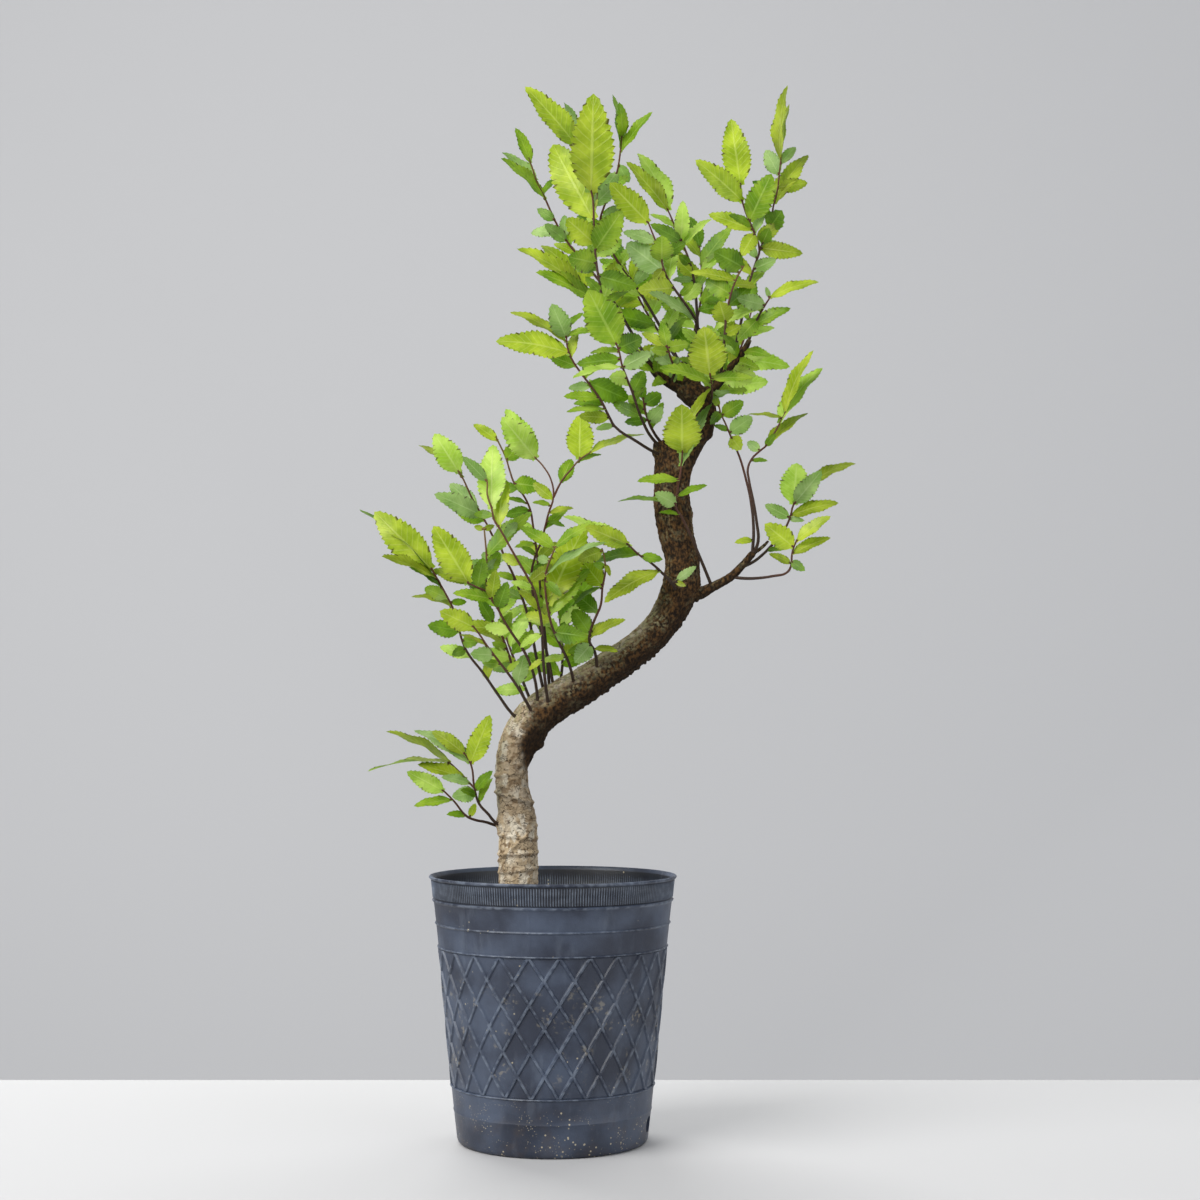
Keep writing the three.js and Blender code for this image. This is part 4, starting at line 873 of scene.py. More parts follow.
    def _lattice(self) -> bpy.types.Object:
        """Models the band of diamonds: tiles copied along and up, cut, and wrapped round the wall.

        Returns:
            The band.
        """
        level = (self.lattice_top - self.lower_ridge_z) / self.lattice_rows
        across = 2 * math.pi * self.radius(self.lattice_middle) / self.diamonds
        band = self._tile(across, level)
        rows = self.lattice_rows // 2 + 1
        for offset, count in (((across * MM, 0, 0), self.diamonds), ((0, 2 * level * MM, 0), rows)):
            applied(
                band, "ARRAY", count=count, use_relative_offset=False, use_constant_offset=True,
                constant_offset_displace=offset, use_merge_vertices=True, merge_threshold=10 * SAME_SPOT,
            )
        with editing(band):
            for edge, outer in zip(self.lattice_cuts, (False, True)):
                cut = (0, (edge - self.lower_ridge_z) * MM, 0)
                bpy.ops.mesh.select_all(action="SELECT")
                bpy.ops.mesh.bisect(
                    plane_co=cut, plane_no=(0, 1, 0), clear_inner=not outer, clear_outer=outer
                )
        flat = places(band)
        angle = self.phase + math.pi / self.diamonds + flat[:, 0] / across * 2 * math.pi / self.diamonds
        z = flat[:, 1] + self.lower_ridge_z
        radius = np.array([self.radius(h) for h in z]) + flat[:, 2]
        place_all(band, np.column_stack((radius * np.sin(angle), -radius * np.cos(angle), z)))
        return band

    def _cutter(self, radius: float, at: Vector, turn: Row) -> bpy.types.Object:
        """Models the bar that cuts one round hole.

        Args:
            radius: the hole's radius.
            at: the bar's middle.
            turn: how it is turned about each axis.

        Returns:
            The bar.
        """
        bpy.ops.mesh.primitive_cylinder_add(
            vertices=self.hole_sides, radius=radius * MM, depth=self.cutter_length * MM, location=at * MM,
            rotation=turn,
        )
        return settled("cutter")

    def _drained(self, wall: bpy.types.Object) -> None:
        """Cuts the drain holes through the floor and low in the side.

        Args:
            wall: the finished wall.
        """
        cutters = []
        for i in range(self.drain_holes):
            angle = 2 * math.pi * (i + 0.5) / self.drain_holes
            at = Vector((math.cos(angle), math.sin(angle), 0)) * self.drain_ring
            cutters.append(self._cutter(self.drain_radius, at, (0, 0, 0)))
        for angle in (self.side_drain_at, self.side_drain_at + math.pi):
            at = Vector((math.sin(angle), -math.cos(angle), 0)) * self.foot_radius
            at.z = self.side_drain_z
            cutters.append(self._cutter(self.side_drain_radius, at, (math.pi / 2, 0, angle)))
        cutter = joined(cutters, "cutter")
        applied(wall, "BOOLEAN", operation="DIFFERENCE", object=cutter, solver="EXACT")
        bpy.data.objects.remove(cutter)

    def _seams(self, wall: bpy.types.Object) -> None:
        """Raises the mould's seams on the plain bands over the lattice.

        Args:
            wall: the wall, before it is smoothed.
        """
        near = 0.6 * math.pi / self.flutes
        low, high = self.seam_heights

        def on_seam(vertex: bmesh.types.BMVert) -> bool:
            """Tells whether a vertex is on one of the seams.

            Args:
                vertex: the vertex.

            Returns:
                Whether it is.
            """
            x, y, z = vertex.co / MM
            outside = low < z < high and math.hypot(x, y) > self.radius(z) - 0.3
            return outside and any(abs(math.atan2(x, -y) - at) < near for at in self.seams_at)

        with editing(wall):
            choose(wall, on_seam)
            bpy.ops.transform.resize(value=(self.seam_swell, self.seam_swell, 1), center_override=(0, 0, 0))

    def build(self) -> bpy.types.Object:
        """Models and dresses the pot.

        Returns:
            The pot, which replaces its CAD node.
        """
        wall = joined([self._upper_wall(), self._foot(), self._lattice()], "nursery_pot")
        with editing(wall):
            bpy.ops.mesh.select_all(action="SELECT")
            bpy.ops.mesh.remove_doubles(threshold=2 * SAME_SPOT)
            for edge in self.lattice_cuts:
                choose(wall, lambda v: v.is_boundary and abs(v.co.z - edge * MM) < 0.05 * MM)
                bpy.ops.mesh.select_mode(type="EDGE")
                bpy.ops.mesh.bridge_edge_loops()
                bpy.ops.mesh.select_mode(type="VERT")
        self._seams(wall)
        smoothed(wall, self.crease)
        self._drained(wall)
        smoothed(wall, self.crease)
        spots = places(wall)
        plain = np.array([self.radius(z) for z in spots[:, 2]])
        crests = np.array([self._on_crest(*spot) for spot in spots])
        rise = (np.hypot(spots[:, 0], spots[:, 1]) - plain) / self.full_rise
        mark(wall, "rise", np.clip(rise, crests, 1))
        dressed(wall, PotFinish().material())
        return seated(wall, "pot")


@dataclass
class Soil:
    """The grit that fills the pot, with a plain hole for the stem and loose grains on top."""

    pot: Pot
    top: float = SOIL_TOP
    reach: float = 46.3
    gap: float = 0.4
    corner: Row = (37.8, 5.0)
    side_heights: Row = (30.0, 60.0, 90.0, 94.5)
    hole_radius: float = 8.6
    hole_floor: float = 56.0
    around: int = 96
    crease: float = 50.0
    unevenness: float = 0.9
    hummocks: float = 0.28
    grains: int = 950
    grain_sizes: tuple[float, float] = (0.6, 1.9)
    grain_breadth: tuple[float, float] = (0.6, 0.9)
    grain_height: tuple[float, float] = (0.5, 0.9)
    seed: int = 11

    def _bed(self, stem: Vector) -> bpy.types.Object:
        """Models the closed body of the soil, with its top made uneven and its hole moved to the stem.

        Args:
            stem: where the stem goes into it.

        Returns:
            The body.
        """
        base = self.pot.floor + self.gap
        steps = [(6.0, base), (34.0, base), self.corner]
        steps += [(self.pot.radius(z) - self.pot.wall - self.gap, z) for z in self.side_heights]
        steps += [(self.reach, self.top)] + [(float(radius), self.top) for radius in range(44, 9, -2)]
        steps += [(self.hole_radius, self.top), (self.hole_radius, self.hole_floor), (3.0, self.hole_floor)]
        bed = turned("bed", steps, self.around)
        with editing(bed):
            for edge_z in (base, self.hole_floor):
                choose(bed, lambda v: v.is_boundary and abs(v.co.z - edge_z * MM) < 0.1 * MM)
                bpy.ops.mesh.merge(type="CENTER")
        spots = places(bed)
        out = np.hypot(spots[:, 0], spots[:, 1])
        share = np.clip((self.reach - out) / (self.reach - self.hole_radius), 0, 1)
        share *= spots[:, 2] > self.hole_floor - 1
        rises = [self.unevenness * noise.noise(Vector((x, y, 3)) * self.hummocks) - 0.2 for x, y, _ in spots]
        spots[:, 2] += np.array(rises) * (spots[:, 2] > self.top - 0.5)
        spots[:, :2] += np.outer(share, stem.xy)
        place_all(bed, spots)
        return bed

    def _crumbs(self, stem: Vector) -> list[bpy.types.Object]:
        """Strews loose grains on top: copies of one, turned at random, but none under the stem.

        Args:
            stem: where the stem goes into the soil.

        Returns:
            The grains.
        """
        draws = random.Random(self.seed)
        bpy.ops.mesh.primitive_ico_sphere_add(subdivisions=1, radius=MM)
        grain = settled("grain")
        crumbs = []
        for _ in range(self.grains):
            reach = (self.reach - 0.8) * math.sqrt(draws.uniform(0, 1))
            angle = draws.uniform(0, math.tau)
            size = draws.uniform(*self.grain_sizes)
            turn = [draws.uniform(0, math.pi) for _ in range(3)]
            at = Vector((reach * math.cos(angle), reach * math.sin(angle), self.top - 0.2 + 0.35 * size))
            if (at - stem).xy.length < self.hole_radius + 0.9:
                continue
            crumb = copied(grain, "crumb")
            crumb.location = at * MM
            crumb.rotation_euler = turn
            breadth, height = draws.uniform(*self.grain_breadth), draws.uniform(*self.grain_height)
            crumb.scale = (size, size * breadth, size * height)
            crumbs.append(crumb)
        bpy.data.objects.remove(grain)
        return crumbs

    def build(self, stem: Vector) -> bpy.types.Object:
        """Models and dresses the soil.

        Args:
            stem: where the stem goes into it, in mm.

        Returns:
            The soil, which replaces its CAD node.
        """
        parts = [self._bed(stem), *self._crumbs(stem)]
        alone(parts[0])
        for part in parts:
            part.select_set(True)
        bpy.ops.object.transform_apply(location=True, rotation=True, scale=True)
        soil = joined(parts, "soil_grit")
        smoothed(soil, self.crease)
        dressed(soil, SoilFinish().material())
        return seated(soil, "soil")


TRUNK: tuple[Row, ...] = (
    (-14.3, 0, 56, 7.4), (-14.4, 0, 80, 8), (-14.4, 0, 99, 8.3), (-14.6, 0, 119, 8.4),
    (-15, -0.5, 133, 8.1), (-17.2, -1, 147, 7), (-17.4, -1, 155, 6.9), (-16, -0.5, 161.5, 7.5),
    (-13.3, 0, 167.5, 8.2), (-9, 0.5, 174, 8.6), (-3, 1, 179.5, 8.4), (5, 1.5, 184.5, 8.1),
    (13, 2, 189.2, 7.9), (28, 2, 199.4, 7.4), (36.5, 1.5, 205.5, 7.1), (43.3, 1, 212, 7.1),
    (48.8, 0.5, 219.6, 7.3), (52.6, 0, 227.7, 7.9), (54.3, -0.5, 235.7, 7.7), (54.2, -1, 243, 7.3),
    (52.4, -1, 250.5, 7.5), (51, -0.5, 258, 7.7), (50.1, 0, 266, 7.9), (50.1, 0, 273.5, 7.6),
    (50.6, 0, 281, 8.2), (50.4, 0, 287.5, 7),
)
LIMBS: dict[str, tuple[Row, ...]] = {
    "pruned_stub": ((50, 0, 282, 5.5), (47.8, -0.5, 288, 5.4), (46.6, -0.8, 293, 4.6)),
    "leader": (
        (52, 0, 278, 6), (55.5, 0, 286, 5.4), (60, 0, 293.5, 4.9), (64, 0, 301, 4.7), (63.5, 0, 307.5, 5.1),
        (58.5, 0, 313, 5.6), (54, 0, 315.5, 4.4),
    ),
    "left_limb": ((57, 0, 314, 3.2), (49, -2, 317.5, 2.4), (43, -3, 322, 1.9), (39.5, -4, 327.5, 1.3)),
    "centre_limb": ((59, 0, 313, 2.6), (61.3, 1.5, 323, 2), (61.6, 2.5, 333, 1.6), (61.2, 2.5, 341, 1.3)),
    "back_limb": ((58, 2, 312, 2.8), (56, 9, 319, 2.2), (54.5, 15, 326, 1.6)),
    "right_limb": (
        (61, 0, 309, 3.6), (67, -1, 314.5, 2.6), (71.5, -2, 319.5, 2.1), (76.5, -3, 325.5, 1.8),
        (80.5, -4, 330.8, 1.5), (83.3, -5, 336, 1.2),
    ),
    "right_branch": (
        (55, 0, 226, 3.2), (61, -1, 227.3, 2.6), (66, -2, 230, 2.2), (70.5, -3, 232.3, 2),
        (75.5, -4, 235.4, 1.9), (80, -5, 240, 1.7), (84.3, -6, 245, 1.6),
    ),
    "bare_twig": ((84, -6, 244.5, 1), (88, -4, 247.3, 0.9), (91, -3, 250.2, 0.7)),
}


@dataclass(frozen=True)
class Swelling:
    """A burl or knot: its middle as a place in space, how far it rises and how wide it is, in mm."""

    at: Row
    rise: float
    spread: float


@dataclass
class Trunk:
    """The trunk and the limbs that grew as one with it, with cracked and flaking bark.

    A ring scar is its height, its slope and its size. The pale edge is, at each height, how far right the
    pale bark reaches:
    low down it is the bark's own pale colour, and at the bend it is painted light, pale on the lit left and
    dark on the shaded right. Each pair from leans to lit_edge is where a ramp starts and how long it is, in
    mm.
    """

    line: tuple[Row, ...] = TRUNK
    limbs: dict[str, tuple[Row, ...]] = field(default_factory=lambda: LIMBS)
    trunk_sides: int = 40
    limb_sides: int = 20
    rings: int = 5
    voxel: float = 0.52
    crease: float = 75.0
    plate_rise: float = 0.24
    crack_depth: float = 0.5
    jag_rise: float = 1.5
    leans: tuple[float, float] = (166, 8)
    stands: tuple[float, float] = (236, -14)
    shade_from: tuple[float, float] = (150, 15)
    lichen_from: tuple[float, float] = (165, 10)
    dusk_from: tuple[float, float] = (126, 14)
    dusk_to: tuple[float, float] = (158, 14)
    lit_edge: tuple[float, float] = (-12, 8)
    buried: float = SOIL_TOP - 8
    pale_and_lit_edge: tuple[tuple[float, float], ...] = (
        (137, 14), (144, -8), (150, -10.7), (162, -14.5), (168, -11.5), (181, -13.5), (188, -40), (200, -90),
    )
    ring_scars: tuple[tuple[float, float, float], ...] = (
        (112, 0.12, 0.5), (119, 0.05, 0.6), (126, -0.1, 0.5), (142, -0.28, 0.9), (152.5, 0.12, 0.6),
        (123, 0.9, 0.5),
    )
    swellings: tuple[Swelling, ...] = (
        Swelling((-4.6, -1, 164), 2.2, 3.2), Swelling((-8, -1, 158), 1.0, 2.6),
        Swelling((-24, -2, 131), 1.2, 3.5), Swelling((59, -3, 232), 1.5, 3.4),
        Swelling((47, -6, 236), 1.0, 3.2), Swelling((42, -1, 287), 1.0, 3), Swelling((60, 0, 262), 1.4, 2.6),
        Swelling((3, -5, 192), 0.8, 4), Swelling((-12, -4, 181), 0.8, 3.5), Swelling((66, 0, 295), 1.0, 2.0),
        Swelling((39, -1, 287), 1.3, 1.6),
    )

    def _bars(self) -> list[bpy.types.Object]:
        """Models the trunk and its limbs as plain round bars.

        Returns:
            The bars, the trunk first.
        """
        bars = []
        for name, rows in (("trunk", self.line), *self.limbs.items()):
            points = [seen(x, z, depth) for x, depth, z, _ in rows]
            sides = self.trunk_sides if name == "trunk" else self.limb_sides
            bars.append(tube(name, points, [radius for *_, radius in rows], sides, self.rings))
        return bars

    def _along(self, spots: np.ndarray) -> tuple[np.ndarray, np.ndarray, np.ndarray]:
        """Finds where on the trunk's own line each spot lies.

        Args:
            spots: places in mm, one row each.

        Returns:
            How far along the line, the offset from it, and how far outside the trunk's radius each spot is.
        """
        knots = np.array([seen(x, z, depth) for x, depth, z, _ in self.line])
        radii = np.array([radius for *_, radius in self.line])
        best = np.full(len(spots), np.inf)
        along, offset, over = np.zeros(len(spots)), np.zeros_like(spots), np.zeros(len(spots))
        start = 0.0
        for a, b, ra, rb in zip(knots, knots[1:], radii, radii[1:]):
            run = b - a
            length = np.linalg.norm(run)
            t = np.clip((spots - a) @ run / length**2, 0, 1)
            away = spots - a - t[:, None] * run
            distance = np.linalg.norm(away, axis=1)
            nearer = distance < best
            best = np.where(nearer, distance, best)
            along = np.where(nearer, start + t * length, along)
            over = np.where(nearer, distance - (ra + (rb - ra) * t), over)
            offset[nearer] = away[nearer]
            start += length
        return along, offset, over

    def _relief(
        self, spots: np.ndarray, lower: np.ndarray, jagged: np.ndarray
    ) -> tuple[np.ndarray, np.ndarray, np.ndarray]:
        """Works out the plates, furrows and jagged underside of the bark from noise.

        Args:
            spots: places in mm, one row each.
            lower: how far each is on the pale lower trunk, from 0 to 1.
            jagged: how far each is on the jagged underside.

        Returns:
            How far each spot rises in mm, how deep in a crack it is, and its flake's number, from 0 to 1.
        """
        along, offset, over = self._along(spots)
        rise, crack, flake = (np.zeros(len(spots)) for _ in range(3))
        thick = np.clip(2.5 - over, 0.25, 1)
        for i, (spot, away) in enumerate(zip(spots, offset)):
            if spot[2] < self.buried:
                continue
            bark = Vector((away[0] * 0.9, away[1] * 0.9, along[i] * 0.26 + away[2] * 0.3))
            furrow = 1 - abs(noise.noise(bark * 0.75)) * 3.2
            fine = 1 - abs(noise.noise(bark * 2.1 + Vector((7, 3, 1)))) * 3.0
            crack[i] = max(0.0, furrow) ** 2 * 0.75 + max(0.0, fine) ** 2 * 0.35 * (1 - 0.7 * lower[i])
            near, centres = noise.voronoi(Vector((away[0], away[1], along[i] * 0.6)) * 0.42)
            flake[i] = noise.cell(centres[0] * 7.3) * 0.5 + 0.5
            edge = min(1.0, (near[1] - near[0]) * 5)
            plate = (self.plate_rise - 0.06 * lower[i]) * flake[i] * edge
            rough = 0.22 * noise.noise(Vector(spot) * 0.55) + 0.12 * noise.noise(Vector(spot) * 1.5)
            depth = (self.crack_depth - 0.38 * lower[i]) * crack[i]
            jag = max(0.0, noise.noise(Vector(spot) * 0.62 + Vector((5, 1, 9)))) ** 0.6 * self.jag_rise - 0.4
            rise[i] = (plate + rough - depth - 0.15 + jag * jagged[i]) * thick[i]
        return rise, crack, flake

    def _bark(self, wood: bpy.types.Object) -> None:
        """Raises the bark, and keeps for its material where the cracks, flakes and pale parts are and where
        shade is painted.

        Args:
            wood: the trunk and limbs as one mesh.
        """
        spots, normals = places(wood), threes(wood, "normal")
        x, z = spots[:, 0], spots[:, 2]
        # Pale bark low down is its own colour; where the edge runs up the left side at the bend, the pale is
        # painted light and the dark right painted shade.
        lower = 1 / (1 + np.exp((x - np.interp(z, *zip(*self.pale_and_lit_edge))) / 1.9))
        leaning = ramp(z, *self.leans) * ramp(z, *self.stands)
        down = np.clip(-normals[:, 2] - 0.1, 0, 1)
        rise, crack, flake = self._relief(spots, lower, down * leaning)
        for height, slope, size in self.ring_scars:
            off = z - height - slope * (x + 15)
            ring = np.exp(-((off / 0.8) ** 2)) * lower
            fold = np.exp(-(((off + 1.3) / 0.9) ** 2)) * lower
            rise += size * ring - 0.35 * size * fold
            crack = np.maximum(crack, 0.8 * fold * np.clip(np.sin(x * 1.7 + height) + 0.6, 0, 1))
        for swelling in self.swellings:
            distance = np.linalg.norm(spots - np.array(swelling.at), axis=1)
            rise += swelling.rise * np.exp(-((distance / swelling.spread) ** 2))
        place_all(wood, spots + normals * rise[:, None])
        patches = np.array([noise.noise(Vector(spot) * 0.16) for spot in spots])
        topside = np.clip(normals[:, 2] * 1.3 + 0.15, 0, 1) * leaning
        # Painted shade on the undersides, inside the bend, over the middle of the lower trunk and down its
        # right side.
        shaded = np.clip(down * 2.4, 0, 1) * ramp(z, *self.shade_from)
        bend_shade = np.exp(-(((x + 7) / 7) ** 2) - ((z - 166) / 9) ** 2) * np.clip(normals[:, 0] + 0.3, 0, 1)
        mark(wood, "crack", np.clip(crack, 0, 1) * (1 - 0.35 * lower))
        mark(wood, "flake", flake)
        mark(wood, "pale", np.clip(lower + 0.5 * patches * lower * (1 - lower) * 4 + 0.62 * topside, 0, 1))
        mark(wood, "lichen", np.clip(0.05 + topside + 0.6 * patches, 0, 1) * ramp(z, *self.lichen_from))
        lower_trunk_shade = lower * (0.5 * ramp(z, *self.dusk_from) - 0.25 * ramp(z, *self.dusk_to))
        lower_trunk_shade += 0.3 * lower * ramp(x, *self.lit_edge)
        mark(wood, "shade", np.clip(shaded + bend_shade + lower_trunk_shade, 0, 1))

    def build(self) -> bpy.types.Object:
        """Models and dresses the trunk with its limbs.

        Returns:
            The wood, which replaces its CAD node.
        """
        wood = joined(self._bars(), "trunk_and_limbs")
        applied(wood, "REMESH", mode="VOXEL", voxel_size=self.voxel * MM)
        applied(wood, "SMOOTH", factor=0.5, iterations=6)
        self._bark(wood)
        smoothed(wood, self.crease)
        dressed(wood, BarkFinish().material())
        return seated(wood, "trunk")


@dataclass(frozen=True)
class Plan:
    """A leafy shoot as it was read from the photograph, in mm on the upright plane through the pot's axis.

    A stem is its points: across, depth and height. A leaf is: foot across and height, tip across and height,
    the depth of the tip behind the foot, and the width as seen. There is a letter in tints for each leaf.
    """

    stems: tuple[tuple[Row, ...], ...]
    leaves: tuple[Row, ...]
    tints: str


@dataclass(frozen=True)
class BackPlan:
    """A shoot behind those that the photograph shows: its stem, how many leaves it has on a side, how long
    the longest is, and the limbs whose small leaves are joined to it.
    """

    stem: tuple[Row, ...]
    count: int
    longest: float
    limbs: tuple[str, ...] = ()


